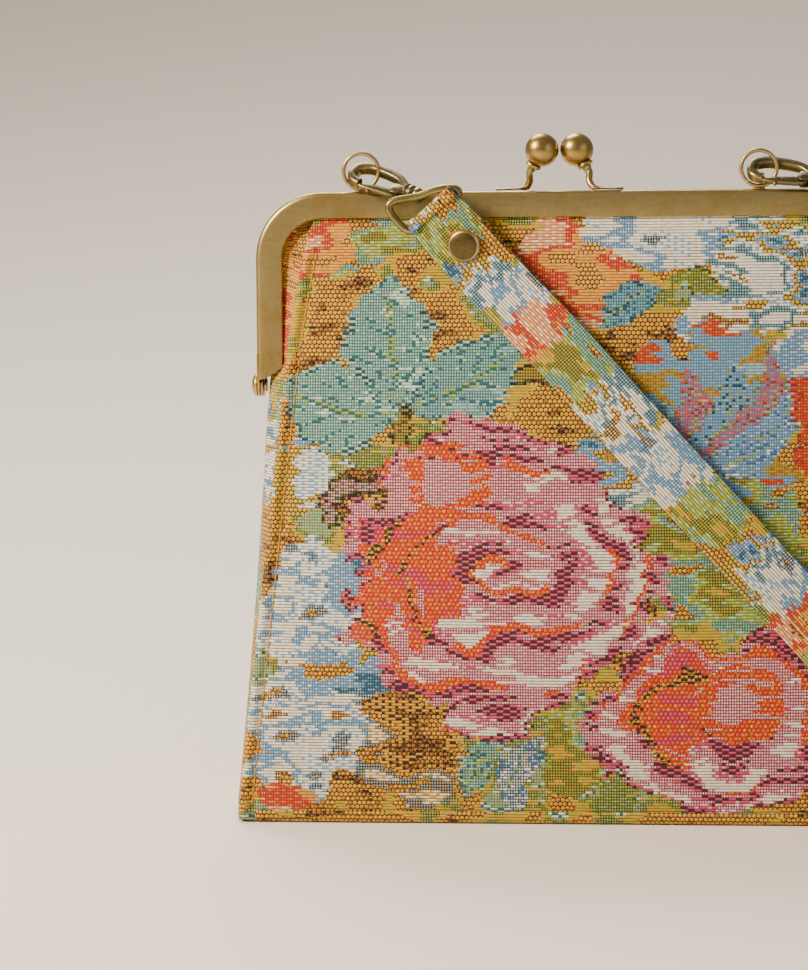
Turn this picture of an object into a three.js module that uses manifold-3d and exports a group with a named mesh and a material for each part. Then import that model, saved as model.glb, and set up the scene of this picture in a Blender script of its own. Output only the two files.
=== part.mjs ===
// Coin purse: a tapestry-cloth purse on a kiss-lock frame, with a clip-on strap.
// Millimetres, +Z up. X runs along the frame, the front faces -Y and the base stands on Z = 0.
import * as THREE from 'three';
import { mergeVertices } from 'three/addons/utils/BufferGeometryUtils.js';
import Module from 'manifold-3d';

const wasm = await Module();
wasm.setup();

// Driving sizes of the metal frame
const FRAME_HALF = 100;
const FRAME_TOP = 205;
const FRAME_CORNER = 22;
const BAND = 8;
const WALL = 0.8;
const CHANNEL_NEAR = 0.2;
const CHANNEL_FAR = 5.4;
const LEG_END = 148;
const LEG_TIP = 143.5;
const HINGE_Z = 141.5;
const GAP = 0.3;

// Hinge tabs and rivets
const TAB_RADIUS = 3.8;
const TAB_TOP = 152;
const HOLE_RADIUS = 1.45;
const PIN_RADIUS = 1.2;
const DOME_HEIGHT = 1.9;
const DOME_RADIUS = 3.8;
const PEEN_RADIUS = 2.2;

// Kiss-lock clasp
const BALL_RADIUS = 5.5;
const BALL_X = 5.65;
const BALL_Z = 218.2;
const BALL_LEAN = 1.2;
const COLLAR_RADIUS = 2.6;
const STEM_RADIUS = 1.1;
const TAIL_END = 21;
const RIM_MIDDLE = 2.8;

// Strap rings on the front half of the frame
const RING_RADIUS = 5.78;
const RING_WIRE = 0.68;
const RING_X = 65;

// Cloth
const CLOTH = 1.0;
const LINING = 0.4;
const BODY_BOTTOM = 4.4;
const BODY_TOP = 203;
const SEAM_BOTTOM = 104;
const SEAM_TAPER = 21;
const SEAM_CORNER = 6;
const SEAM_DEPTH = 30;
const TOP_DEPTH = 4.35;
const SHOULDER = 0.96;
const PLUMP = 9;
const GUSSET_OUT = 3.5;
const GUSSET_HINGE = 3.6;
const HINGE_SHARE = 0.68;
const SPLIT_Z = 136;
const BASE_THICK = 4;

// Strap
const STRAP_WIDTH = 20;
const STRAP_THICK = 1.8;
const FOLD_THICK = 1.1;
const CAP_RADIUS = 5.5;
const EYE_WIRE = 1.0;

const X_AXIS = new THREE.Vector3(1, 0, 0);
const Y_AXIS = new THREE.Vector3(0, 1, 0);
const Z_AXIS = new THREE.Vector3(0, 0, 1);

const metal = (color, roughness) => new THREE.MeshStandardMaterial({ color, roughness, metalness: 1 });
const cloth = (color) => new THREE.MeshStandardMaterial({ color, roughness: 0.9, metalness: 0 });
const antiqueBrass = metal(0x9a7740, 0.38);
const ballBrass = metal(0xb08d4e, 0.3);
const gunBrass = metal(0x6e6244, 0.35);
const capBrass = metal(0x6b5227, 0.4);
const tapestry = cloth(0xc98f3a);
const strapTapestry = cloth(0xb7a44a);
const gussetTapestry = cloth(0xd9a52c);
const liningCotton = cloth(0xd8c7a0);
const paper = cloth(0xcdb48a);
const greyBoard = cloth(0x9c9384);

const purse = new THREE.Group();

const addPart = (name, geometry, material, parent = purse) => {
  const mesh = new THREE.Mesh(geometry, material);
  mesh.name = name;
  parent.add(mesh);
  return mesh;
};

// Booleans
const toSolid = (geometry) => {
  const bare = geometry.clone();
  bare.deleteAttribute('normal');
  bare.deleteAttribute('uv');
  const merged = mergeVertices(bare, 1e-4);
  const vertProperties = new Float32Array(merged.attributes.position.array);
  const triVerts = new Uint32Array(merged.index.array);
  return new wasm.Manifold(new wasm.Mesh({ numProp: 3, vertProperties, triVerts }));
};

const toGeometry = (solid) => {
  const mesh = solid.getMesh();
  const geometry = new THREE.BufferGeometry();
  geometry.setAttribute('position', new THREE.BufferAttribute(mesh.vertProperties, 3));
  geometry.setIndex(new THREE.BufferAttribute(mesh.triVerts, 1));
  geometry.computeVertexNormals();
  return geometry;
};

const joined = (...geometries) => {
  const solids = geometries.map(toSolid);
  return toGeometry(solids.reduce((total, solid) => total.add(solid)));
};

const cutFrom = (geometry, ...tools) => {
  const solids = tools.map(toSolid);
  return toGeometry(solids.reduce((total, solid) => total.subtract(solid), toSolid(geometry)));
};

// A flat plate drawn in X and Z, from frontY back by depth
const plateXZ = (shape, frontY, depth, curveSegments = 6) => {
  const options = { depth, bevelEnabled: false, curveSegments };
  const geometry = new THREE.ExtrudeGeometry(shape, options);
  geometry.rotateX(Math.PI / 2);
  geometry.translate(0, frontY + depth, 0);
  return geometry;
};

// A flat plate drawn in Y and Z, from startX on by depth
const plateYZ = (shape, startX, depth) => {
  const options = { depth, bevelEnabled: false, curveSegments: 10 };
  const geometry = new THREE.ExtrudeGeometry(shape, options);
  geometry.applyMatrix4(new THREE.Matrix4().makeBasis(Y_AXIS, Z_AXIS, X_AXIS));
  geometry.translate(startX, 0, 0);
  return geometry;
};

const block = (x0, x1, y0, y1, z0, z1) => {
  const geometry = new THREE.BoxGeometry(x1 - x0, y1 - y0, z1 - z0);
  geometry.translate((x0 + x1) / 2, (y0 + y1) / 2, (z0 + z1) / 2);
  return geometry;
};

// A round wire or tube along a curve
const wire = (curve, radius, steps, sides = 8) => {
  const section = new THREE.Shape();
  section.absarc(0, 0, radius, 0, Math.PI * 2, false);
  const options = { steps, extrudePath: curve, bevelEnabled: false, curveSegments: sides / 2 };
  return new THREE.ExtrudeGeometry(section, options);
};

// A turned piece whose profile points are [radius, height], set along a direction
const turned = (profile, origin, direction, sides = 18) => {
  const points = profile.map(([radius, height]) => new THREE.Vector2(radius, height));
  const geometry = new THREE.LatheGeometry(points, sides);
  const turn = new THREE.Quaternion().setFromUnitVectors(Y_AXIS, direction.clone().normalize());
  geometry.applyQuaternion(turn);
  geometry.translate(origin.x, origin.y, origin.z);
  return geometry;
};

// Turns a closed indexed mesh the right way out
const facingOut = (geometry) => {
  const corner = [0, 1, 2].map(() => new THREE.Vector3());
  const { index } = geometry;
  let volume = 0;
  for (let at = 0; at < index.count; at += 3) {
    const places = geometry.attributes.position;
    corner.forEach((point, place) => point.fromBufferAttribute(places, index.getX(at + place)));
    volume += corner[0].dot(corner[1].clone().cross(corner[2]));
  }
  for (let at = 0; volume < 0 && at < index.count; at += 3) {
    const first = index.getX(at);
    index.setX(at, index.getX(at + 1));
    index.setX(at + 1, first);
  }
  geometry.computeVertexNormals();
  return geometry;
};

// A thin closed sheet: map(u, v, t) gives the point at 0..1 across, up and through it
const sheet = (across, up, map) => {
  const geometry = new THREE.BoxGeometry(1, 1, 1, across, up, 1);
  const place = geometry.attributes.position;
  for (let index = 0; index < place.count; index += 1) {
    const u = place.getX(index) + 0.5;
    const v = place.getY(index) + 0.5;
    const t = place.getZ(index) + 0.5;
    const point = map(u, v, t);
    place.setXYZ(index, point.x, point.y, point.z);
  }
  return facingOut(geometry);
};

const vec = (x, y, z) => new THREE.Vector3(x, y, z);
const mix = THREE.MathUtils.lerp;

// ---------------------------------------------------------------- frame
// The inverted U of the frame, drawn between two insets from its outer edge
const bandShape = (inset, width, legEnd, legTip) => {
  const outer = FRAME_HALF - inset;
  const top = FRAME_TOP - inset;
  const outerRadius = FRAME_CORNER - inset;
  const inner = outer - width;
  const innerRadius = outerRadius - width;
  const centre = top - outerRadius;
  const shape = new THREE.Shape();
  shape.moveTo(-outer, legTip);
  shape.lineTo(-outer, centre);
  shape.absarc(-outer + outerRadius, centre, outerRadius, Math.PI, Math.PI / 2, true);
  shape.lineTo(outer - outerRadius, top);
  shape.absarc(outer - outerRadius, centre, outerRadius, Math.PI / 2, 0, true);
  shape.lineTo(outer, legTip);
  shape.quadraticCurveTo(inner + width / 4, legTip, inner, legEnd);
  shape.lineTo(inner, centre);
  shape.absarc(inner - innerRadius, centre, innerRadius, 0, Math.PI / 2, false);
  shape.lineTo(-inner + innerRadius, top - width);
  shape.absarc(-inner + innerRadius, centre, innerRadius, Math.PI / 2, Math.PI, false);
  shape.lineTo(-inner, legEnd);
  shape.quadraticCurveTo(-inner - width / 4, legTip, -outer, legTip);
  return shape;
};

// side is -1 for the front half and 1 for the back half
const tabShape = (side) => {
  const shape = new THREE.Shape();
  const near = side * CHANNEL_NEAR;
  const far = side * CHANNEL_FAR;
  const start = side < 0 ? Math.PI : 0;
  const finish = side < 0 ? Math.PI / 3 : (Math.PI * 2) / 3;
  shape.moveTo(far, TAB_TOP);
  shape.lineTo(far, LEG_END - 1);
  shape.lineTo(side * TAB_RADIUS, HINGE_Z);
  shape.absarc(0, HINGE_Z, TAB_RADIUS, start, finish, side > 0);
  shape.lineTo(near, LEG_END);
  shape.lineTo(near, TAB_TOP);
  return shape;
};

const frameHalf = (side) => {
  const near = side * CHANNEL_NEAR;
  const far = side * CHANNEL_FAR;
  const frontOf = (a, b) => Math.min(a, b);
  const depth = CHANNEL_FAR - CHANNEL_NEAR;
  const outerWall = plateXZ(bandShape(0, BAND, LEG_END, LEG_TIP), frontOf(far, far - side * WALL), WALL);
  const innerWall = plateXZ(bandShape(0, BAND, LEG_END, LEG_END), frontOf(near, near + side * WALL), WALL);
  const rim = plateXZ(bandShape(0, WALL, LEG_END, LEG_END), frontOf(near, far), depth);
  const tabInset = side < 0 ? 0 : WALL + GAP;
  const pieces = [outerWall, innerWall, rim];
  for (const end of [-1, 1]) {
    const outside = end * (FRAME_HALF - tabInset);
    const inside = outside - end * WALL;
    pieces.push(plateYZ(tabShape(side), Math.min(outside, inside), WALL));
    if (side > 0) {
      const outer = end * (FRAME_HALF - WALL / 2);
      const inner = end * (FRAME_HALF - tabInset - WALL / 2);
      const [x0, x1] = [Math.min(outer, inner), Math.max(outer, inner)];
      pieces.push(block(x0, x1, CHANNEL_NEAR + 0.1, CHANNEL_FAR - 0.1, LEG_END + 0.5, TAB_TOP - 0.5));
    }
  }
  const bore = new THREE.CylinderGeometry(HOLE_RADIUS, HOLE_RADIUS, FRAME_HALF * 3, 24);
  bore.rotateZ(Math.PI / 2);
  bore.translate(0, 0, HINGE_Z);
  return cutFrom(joined(...pieces), bore);
};

addPart('front_frame', frameHalf(-1), antiqueBrass);
addPart('back_frame', frameHalf(1), antiqueBrass);

const hingeRivet = (end) => {
  const inside = FRAME_HALF - WALL - GAP - WALL - GAP;
  const seat = FRAME_HALF + GAP;
  const profile = [
    [0, inside - WALL],
    [PEEN_RADIUS, inside - WALL],
    [PEEN_RADIUS, inside],
    [PIN_RADIUS, inside],
    [PIN_RADIUS, seat],
    [DOME_RADIUS, seat],
  ];
  for (let step = 1; step <= 5; step += 1) {
    const angle = (step / 5) * (Math.PI / 2);
    profile.push([DOME_RADIUS * Math.cos(angle), seat + DOME_HEIGHT * Math.sin(angle)]);
  }
  profile[profile.length - 1][0] = 0;
  return turned(profile, vec(0, 0, HINGE_Z), vec(end, 0, 0));
};

addPart('left_hinge_rivet', hingeRivet(-1), antiqueBrass);
addPart('right_hinge_rivet', hingeRivet(1), antiqueBrass);

// Paper cord pressed into each channel to hold the cloth
const CORD_INSET = 2.4;
const CORD_DEPTH = 1.75;
const CORD_RADIUS = 0.55;
const CORD_BENDS = 4;
const frameCord = (side) => {
  const y = side * CORD_DEPTH;
  const radius = FRAME_CORNER - CORD_INSET;
  const bend = FRAME_HALF - FRAME_CORNER;
  const centre = FRAME_TOP - FRAME_CORNER;
  const half = [vec(bend + radius, y, TAB_TOP + 2), vec(bend + radius, y, mix(TAB_TOP, centre, 0.6))];
  for (let step = 0; step <= CORD_BENDS; step += 1) {
    const angle = (step / CORD_BENDS) * (Math.PI / 2);
    half.push(vec(bend + radius * Math.cos(angle), y, centre + radius * Math.sin(angle)));
  }
  half.push(vec(bend / 2, y, centre + radius));
  const other = half.map((point) => vec(-point.x, point.y, point.z));
  const path = new THREE.CatmullRomCurve3([...other, vec(0, y, centre + radius), ...half.reverse()]);
  return wire(path, CORD_RADIUS, 64, 4);
};

addPart('front_frame_cord', frameCord(-1), paper);
addPart('back_frame_cord', frameCord(1), paper);

// ---------------------------------------------------------------- clasp
// The arm is soldered on its own half's rim and its ball leans over the other half
const clasp = (label, side, end) => {
  const centre = vec(end * BALL_X, side * -BALL_LEAN, BALL_Z);
  const foot = side * RIM_MIDDLE;
  const seat = FRAME_TOP + 0.2;
  const lean = vec(end * 3.2, side * 1.0, -5.6).normalize();
  const neck = centre.clone().addScaledVector(lean, BALL_RADIUS + 1.5);
  const tail = vec(end * (TAIL_END - 9), foot, seat + STEM_RADIUS);
  const stem = new THREE.CatmullRomCurve3([
    centre.clone().addScaledVector(lean, BALL_RADIUS + 0.5),
    neck.clone().addScaledVector(lean, 2),
    tail.clone().lerp(neck, 0.25).add(vec(0, 0, -0.7)),
    tail,
    vec(end * (TAIL_END - 6), foot, seat + STEM_RADIUS),
  ]);
  const plate = block(
    Math.min(end * (TAIL_END - 10), end * TAIL_END),
    Math.max(end * (TAIL_END - 10), end * TAIL_END),
    foot - 2,
    foot + 2,
    seat,
    seat + 1.1,
  );
  const collarProfile = [[0, 0], [COLLAR_RADIUS, 0.35], [COLLAR_RADIUS, 1.2], [STEM_RADIUS, 1.9], [0, 1.9]];
  const collarSeat = centre.clone().addScaledVector(lean, BALL_RADIUS);
  const collar = turned(collarProfile, collarSeat, lean, 16);
  const ball = new THREE.SphereGeometry(BALL_RADIUS, 20, 14);
  const arm = joined(wire(stem, STEM_RADIUS, 16, 6), collar, plate);
  const clearance = new THREE.SphereGeometry(BALL_RADIUS + 0.25, 20, 14);
  for (const sphere of [ball, clearance]) {
    sphere.translate(centre.x, centre.y, centre.z);
  }
  addPart(`${label}_clasp_ball`, ball, ballBrass);
  addPart(`${label}_clasp_arm`, cutFrom(arm, clearance), antiqueBrass);
};

clasp('front', -1, 1);
clasp('back', 1, -1);

// ---------------------------------------------------------------- strap rings
const strapRing = (x) => {
  const centreZ = FRAME_TOP + GAP + RING_RADIUS + RING_WIRE;
  const ring = new THREE.TorusGeometry(RING_RADIUS, RING_WIRE, 8, 28);
  ring.rotateX(Math.PI / 2);
  ring.translate(x, -RIM_MIDDLE, centreZ);
  const low = FRAME_TOP + GAP;
  const foot = block(x - 1.9, x + 1.9, -RIM_MIDDLE - 0.75, -RIM_MIDDLE + 0.75, low, low + 1.2);
  return joined(ring, foot);
};

addPart('left_strap_ring', strapRing(-RING_X), antiqueBrass);
addPart('right_strap_ring', strapRing(RING_X), antiqueBrass);

// ---------------------------------------------------------------- cloth body
// Height as a share of the body, then the seam's half width, half depth and the panel's bulge
const shareAt = (z) => (z - BODY_BOTTOM) / (BODY_TOP - BODY_BOTTOM);
const seamWidth = (z) => SEAM_BOTTOM - SEAM_TAPER * shareAt(z) - SEAM_CORNER * shareAt(z) ** 12;
const rise = (z) => Math.min(1, shareAt(z) / SHOULDER);
const seamDepth = (z) => TOP_DEPTH + (SEAM_DEPTH - TOP_DEPTH) * (1 - rise(z)) ** 0.62;
const plumpness = (z) => PLUMP * Math.sin(Math.PI * rise(z)) ** 0.9;
const panelDepth = (x, z) => seamDepth(z) + plumpness(z) * (1 - (x / seamWidth(z)) ** 2);
const gussetWidth = (z) => seamWidth(z) + GUSSET_OUT + GUSSET_HINGE * (shareAt(z) / HINGE_SHARE) ** 2;

// A panel of cloth: side -1 is the front, inset is how far it lies inside the outer face.
// A panel that runs up into the frame has its last two rows in the channel.
const SHOULDER_Z = mix(BODY_BOTTOM, BODY_TOP, SHOULDER);
const panel = (side, bottom, top, inset, thick, up = 8, halfWidth = 1e3) => sheet(10, up, (u, v, t) => {
  const held = top > SHOULDER_Z ? 2 / up : 0;
  const below = Math.min(1, v / (1 - held));
  const within = held > 0 ? Math.max(0, (v - 1 + held) / held) : 0;
  const z = mix(mix(bottom, Math.min(top, SHOULDER_Z), below), top, within);
  const half = Math.min(seamWidth(z) - inset, halfWidth);
  const x = mix(-half, half, u) * -side;
  const y = side * (panelDepth(x, z) - inset - thick * (1 - t));
  return vec(x, y, z);
});

addPart('front_panel', panel(-1, BODY_BOTTOM, BODY_TOP, 0, CLOTH, 16), tapestry);
addPart('back_panel', panel(1, BODY_BOTTOM, SPLIT_Z, 0, CLOTH), tapestry);
addPart('back_panel_top', panel(1, SPLIT_Z + GAP, BODY_TOP, 0, CLOTH), tapestry);

const LINING_INSET = CLOTH + 0.5;
const LINING_TOP = 200;
addPart('front_lining', panel(-1, BODY_BOTTOM, LINING_TOP, LINING_INSET, LINING, 16), liningCotton);
addPart('back_lining', panel(1, BODY_BOTTOM, SPLIT_Z, LINING_INSET, LINING), liningCotton);
addPart('back_lining_top', panel(1, SPLIT_Z + GAP, LINING_TOP, LINING_INSET, LINING), liningCotton);

const POCKET_INSET = LINING_INSET + LINING + GAP;
const POCKET_HALF = 45;
const POCKET_LOW = 44;
const POCKET_HIGH = 112;
const pocket = panel(1, POCKET_LOW, POCKET_HIGH, POCKET_INSET, LINING, 4, POCKET_HALF);
addPart('slip_pocket', pocket, liningCotton);

// A gusset below the hinge, between the front and back panels
const gusset = (end, bottom, inset, thick) => sheet(8, 8, (u, v, t) => {
  const z = mix(bottom, SPLIT_Z, v);
  const across = mix(-1, 1, u) * end;
  const y = across * (seamDepth(z) - inset - thick - GAP);
  const out = (gussetWidth(z) - seamWidth(z)) * (1 - across ** 2);
  const x = end * (seamWidth(z) + out - inset - thick * (1 - t));
  return vec(x, y, z);
});

// The gusset's top, from the panel's seam into the leg's channel above the hinge
const gussetTop = (end, side) => sheet(5, 12, (u, v, t) => {
  const seamZ = mix(SPLIT_Z + GAP, BODY_TOP - 4, v);
  const corner = FRAME_TOP - FRAME_CORNER;
  const path = mix(SPLIT_Z + GAP, corner + 20, v);
  const angle = Math.max(0, path - corner) / 20;
  const level = Math.min(path, corner);
  const inLeg = THREE.MathUtils.smoothstep(path, HINGE_Z - 1, LEG_END + 1);
  const bend = FRAME_HALF - FRAME_CORNER;
  const seam = vec(seamWidth(seamZ), seamDepth(seamZ) - CLOTH - 4 * GAP, seamZ);
  const turnAt = (radius, depth) => {
    return vec(bend + radius * Math.cos(angle), depth, level + radius * Math.sin(angle));
  };
  const hold = vec(93, 8, path).lerp(turnAt(12, 1.1), inLeg);
  const held = vec(96, 0.7, path).lerp(turnAt(17.3, 3.4), inLeg);
  const curve = new THREE.QuadraticBezierCurve3(seam, hold, held);
  const point = curve.getPoint(u);
  const tangent = curve.getTangent(u);
  const thin = 0.6 * (1 - t);
  const length = Math.hypot(tangent.x, tangent.y);
  const x = point.x + (tangent.y / length) * thin;
  const y = point.y - (tangent.x / length) * thin;
  return vec(end * x, side * y, point.z);
});

for (const [label, end] of [['left', -1], ['right', 1]]) {
  addPart(`${label}_gusset`, gusset(end, BODY_BOTTOM, 0, CLOTH), gussetTapestry);
  addPart(`${label}_gusset_front_top`, gussetTop(end, -1), gussetTapestry);
  addPart(`${label}_gusset_back_top`, gussetTop(end, 1), gussetTapestry);
  addPart(`${label}_lining`, gusset(end, BODY_BOTTOM, LINING_INSET, LINING), liningCotton);
}

// Base, stiffener and the lining over it
const roundedRectangle = (halfX, halfY, radius) => {
  const shape = new THREE.Shape();
  shape.moveTo(-halfX + radius, -halfY);
  shape.lineTo(halfX - radius, -halfY);
  shape.absarc(halfX - radius, -halfY + radius, radius, -Math.PI / 2, 0, false);
  shape.lineTo(halfX, halfY - radius);
  shape.absarc(halfX - radius, halfY - radius, radius, 0, Math.PI / 2, false);
  shape.lineTo(-halfX + radius, halfY);
  shape.absarc(-halfX + radius, halfY - radius, radius, Math.PI / 2, Math.PI, false);
  shape.lineTo(-halfX, -halfY + radius);
  shape.absarc(-halfX + radius, -halfY + radius, radius, Math.PI, Math.PI * 1.5, false);
  return shape;
};

const BASE_BEVEL = 1.6;
const basePanel = () => {
  const shape = roundedRectangle(SEAM_BOTTOM + 2 - BASE_BEVEL, SEAM_DEPTH + 0.5 - BASE_BEVEL, 5);
  const depth = BASE_THICK - 2 * BASE_BEVEL;
  const bevel = { bevelThickness: BASE_BEVEL, bevelSize: BASE_BEVEL, bevelSegments: 3 };
  const geometry = new THREE.ExtrudeGeometry(shape, { depth, curveSegments: 4, ...bevel });
  geometry.translate(0, 0, BASE_BEVEL);
  return geometry;
};

const slab = (halfX, halfY, radius, low, thick) => {
  const shape = roundedRectangle(halfX, halfY, radius);
  const geometry = new THREE.ExtrudeGeometry(shape, { depth: thick, bevelEnabled: false, curveSegments: 4 });
  geometry.translate(0, 0, low);
  return geometry;
};

addPart('base_panel', basePanel(), tapestry);
addPart('base_board', slab(97, 27.5, 4, BASE_THICK + GAP, 2), greyBoard);
addPart('base_lining', slab(96.5, 27, 4, BASE_THICK + GAP + 2 + GAP, LINING), liningCotton);

// ---------------------------------------------------------------- strap hooks
// A hook lies in its own axes: nose at the origin, along to the swivel, up across its loop
const LOOP_HALF = 4.3;
const HOOK_WIRE = 1.15;
const LOOP_LENGTH = 20;

const hookBasis = (nose, swivel, up) => {
  const along = swivel.clone().sub(nose).normalize();
  const across = up.clone().addScaledVector(along, -up.dot(along)).normalize();
  const normal = along.clone().cross(across);
  const matrix = new THREE.Matrix4().makeBasis(along, across, normal);
  matrix.setPosition(nose);
  return matrix;
};

const hook = (label, nose, swivel, up, eyePoints, eyeJoin) => {
  const basis = hookBasis(nose, swivel, up);
  const body = new THREE.CatmullRomCurve3([
    vec(3.4, -LOOP_HALF + 0.3, 0),
    vec(1.2, -LOOP_HALF + 0.6, 0),
    vec(-0.4, -LOOP_HALF * 0.5, 0),
    vec(-0.9, 0, 0),
    vec(-0.2, LOOP_HALF * 0.6, 0),
    vec(3, LOOP_HALF, 0),
    vec(10, LOOP_HALF, 0),
    vec(15, LOOP_HALF * 0.8, 0),
    vec(LOOP_LENGTH - 1, 0.6, 0),
    vec(LOOP_LENGTH + 0.5, 0, 0),
  ]);
  const barrelProfile = [[0, 0], [2.2, 0], [2.7, 0.6], [2.7, 3.2], [2.2, 3.8], [0, 3.8]];
  const barrel = turned(barrelProfile, vec(LOOP_LENGTH - 1.4, 0, 0), X_AXIS, 20);
  const lug = block(LOOP_LENGTH - 4.6, LOOP_LENGTH - 1, -LOOP_HALF + 0.4, -0.2, -1.3, 1.3);
  const slot = block(LOOP_LENGTH - 8, LOOP_LENGTH - 2.2, -LOOP_HALF - 1, -1, -0.85, 0.85);
  const pinHole = new THREE.CylinderGeometry(0.75, 0.75, 8, 12);
  pinHole.rotateX(Math.PI / 2);
  pinHole.translate(LOOP_LENGTH - 3.4, -2.6, 0);
  const postHole = new THREE.CylinderGeometry(1.3, 1.3, 8, 16);
  postHole.rotateZ(Math.PI / 2);
  postHole.translate(LOOP_LENGTH + 1.4, 0, 0);
  const cavity = block(LOOP_LENGTH - 0.6, LOOP_LENGTH + 0.9, -2, 2, -3, 3);
  const casting = joined(wire(body, HOOK_WIRE, 26, 6), barrel, lug);
  const hookBody = cutFrom(casting, slot, pinHole, postHole, cavity);

  const gateShape = new THREE.Shape();
  gateShape.moveTo(3.75, -LOOP_HALF - 0.7);
  gateShape.lineTo(LOOP_LENGTH - 3.4, -3.5);
  gateShape.absarc(LOOP_LENGTH - 3.4, -2.6, 0.9, -Math.PI / 2, Math.PI / 2, false);
  gateShape.lineTo(3.75, -LOOP_HALF + 1.3);
  const gateOptions = { depth: 1.2, bevelEnabled: false, curveSegments: 8 };
  const gatePlate = new THREE.ExtrudeGeometry(gateShape, gateOptions);
  gatePlate.translate(0, 0, -0.6);
  const gateBore = new THREE.CylinderGeometry(0.65, 0.65, 8, 12);
  gateBore.rotateX(Math.PI / 2);
  gateBore.translate(LOOP_LENGTH - 3.4, -2.6, 0);
  const gate = cutFrom(gatePlate, gateBore);

  const pin = new THREE.CylinderGeometry(0.45, 0.45, 3.2, 12);
  pin.rotateX(Math.PI / 2);
  pin.translate(LOOP_LENGTH - 3.4, -2.6, 0);

  const postProfile = [[0, 0], [1.7, 0], [1.7, 0.9], [1.0, 0.9], [1.0, 4.2], [0, 4.2]];
  const post = turned(postProfile, vec(LOOP_LENGTH - 0.3, 0, 0), X_AXIS, 16);

  for (const piece of [hookBody, gate, pin, post]) {
    piece.applyMatrix4(basis);
  }
  const eyeWire = new THREE.CatmullRomCurve3(eyePoints, true, 'catmullrom', 0.35);
  const eyeBoss = new THREE.SphereGeometry(2.1, 16, 12);
  eyeBoss.translate(eyeJoin.x, eyeJoin.y, eyeJoin.z);
  addPart(`${label}_hook_body`, hookBody, gunBrass);
  addPart(`${label}_hook_gate`, gate, gunBrass);
  addPart(`${label}_hook_pin`, pin, gunBrass);
  addPart(`${label}_hook_eye`, joined(wire(eyeWire, EYE_WIRE, 40, 6), eyeBoss, post), gunBrass);
};

const HOOK_UP = vec(0, 0.77, 0.64);
const EYE_JOIN = 25;
const LEFT_NOSE = vec(-66.3, -1.6, 211);
const LEFT_SWIVEL = vec(-43.3, -12.4, 202.8);
const leftJoin = LEFT_NOSE.clone().add(LEFT_SWIVEL.clone().sub(LEFT_NOSE).setLength(EYE_JOIN));
const LEFT_EYE_Y = -13.6;
const LEFT_EYE = [
  [-44.8, 203.4],
  [-34.5, 205.2],
  [-32.6, 204.9],
  [-33, 203.7],
  [-35, 202],
  [-40, 197.9],
  [-45, 193.8],
  [-47.2, 192.8],
  [-49.2, 193.8],
  [-54.4, 199.6],
  [-55.2, 201.2],
  [-53.9, 202],
];
const leftEyePoints = LEFT_EYE.map(([x, z]) => vec(x, LEFT_EYE_Y, z));
hook('left', LEFT_NOSE, LEFT_SWIVEL, HOOK_UP, leftEyePoints, leftJoin);

const RIGHT_NOSE = vec(63.7, -1.6, 211.3);
const RIGHT_SWIVEL = vec(88.6, -6.5, 207.9);
const rightAlong = RIGHT_SWIVEL.clone().sub(RIGHT_NOSE).normalize();
const rightAcross = Z_AXIS.clone().cross(rightAlong).normalize();
const rightJoin = RIGHT_NOSE.clone().addScaledVector(rightAlong, EYE_JOIN);
const EYE_HALF = 9.5;
const EYE_DEPTH = 10;
const RIGHT_EYE_SIDE = [[0, 8], [1.2, EYE_HALF], [5, 9.4], [9, 8.6], [EYE_DEPTH, 7.4]];
const rightEyeFar = [...RIGHT_EYE_SIDE].reverse().map(([along, across]) => [along, -across]);
const rightEyePoints = [[0, 0], ...RIGHT_EYE_SIDE, ...rightEyeFar].map(([along, across]) => {
  return rightJoin.clone().addScaledVector(rightAlong, along).addScaledVector(rightAcross, across);
});
hook('right', RIGHT_NOSE, RIGHT_SWIVEL, HOOK_UP, rightEyePoints, rightJoin);

// ---------------------------------------------------------------- strap
// The strap's run: each point has its place and the direction of the strap's width
const DIAGONAL = vec(0.741, 0, 0.672);
const ACROSS = vec(0, 1, 0);
const STRAP_RUN = [
  [vec(-17.6, -18.6, 173.3), DIAGONAL],
  [vec(0, -23.6, 155.4), DIAGONAL],
  [vec(27, -28.9, 125.7), DIAGONAL],
  [vec(54, -30.7, 96.1), DIAGONAL],
  [vec(81, -30.2, 66.4), DIAGONAL],
  [vec(101, -30, 44.4), vec(0.72, 0.25, 0.65)],
  [vec(119, -29.5, 25), vec(0.5, 0.75, 0.43)],
  [vec(136, -28.5, 10), vec(0.15, 0.98, 0.13)],
  [vec(152, -27, 2.6), ACROSS],
  [vec(168, -24.5, 1.3), ACROSS],
  [vec(180, -22, 4.6), ACROSS],
  [vec(184.5, -20, 13), ACROSS],
  [vec(179, -18, 21), ACROSS],
  [vec(163, -15.5, 26), ACROSS],
  [vec(144, -13.5, 31), ACROSS],
  [vec(127, -11.5, 43), ACROSS],
  [vec(116, -10, 66), ACROSS],
  [vec(111, -9, 98), ACROSS],
  [vec(109, -8.5, 130), ACROSS],
  [vec(108.2, -8.3, 158), ACROSS],
  [vec(108, -8.3, 172), ACROSS],
];

const strapPath = new THREE.CatmullRomCurve3(STRAP_RUN.map(([place]) => place));
const strapWidths = new THREE.CatmullRomCurve3(STRAP_RUN.map(([, width]) => width));
const strap = sheet(1, 64, (u, v, t) => {
  const tangent = strapPath.getTangent(v);
  const width = strapWidths.getPoint(v);
  width.addScaledVector(tangent, -width.dot(tangent)).normalize();
  const normal = width.clone().cross(tangent);
  const point = strapPath.getPoint(v);
  point.addScaledVector(width, mix(-STRAP_WIDTH / 2, STRAP_WIDTH / 2, u));
  return point.addScaledVector(normal, mix(-STRAP_THICK / 2, STRAP_THICK / 2, t));
});
addPart('strap', strap, strapTapestry);

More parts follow.
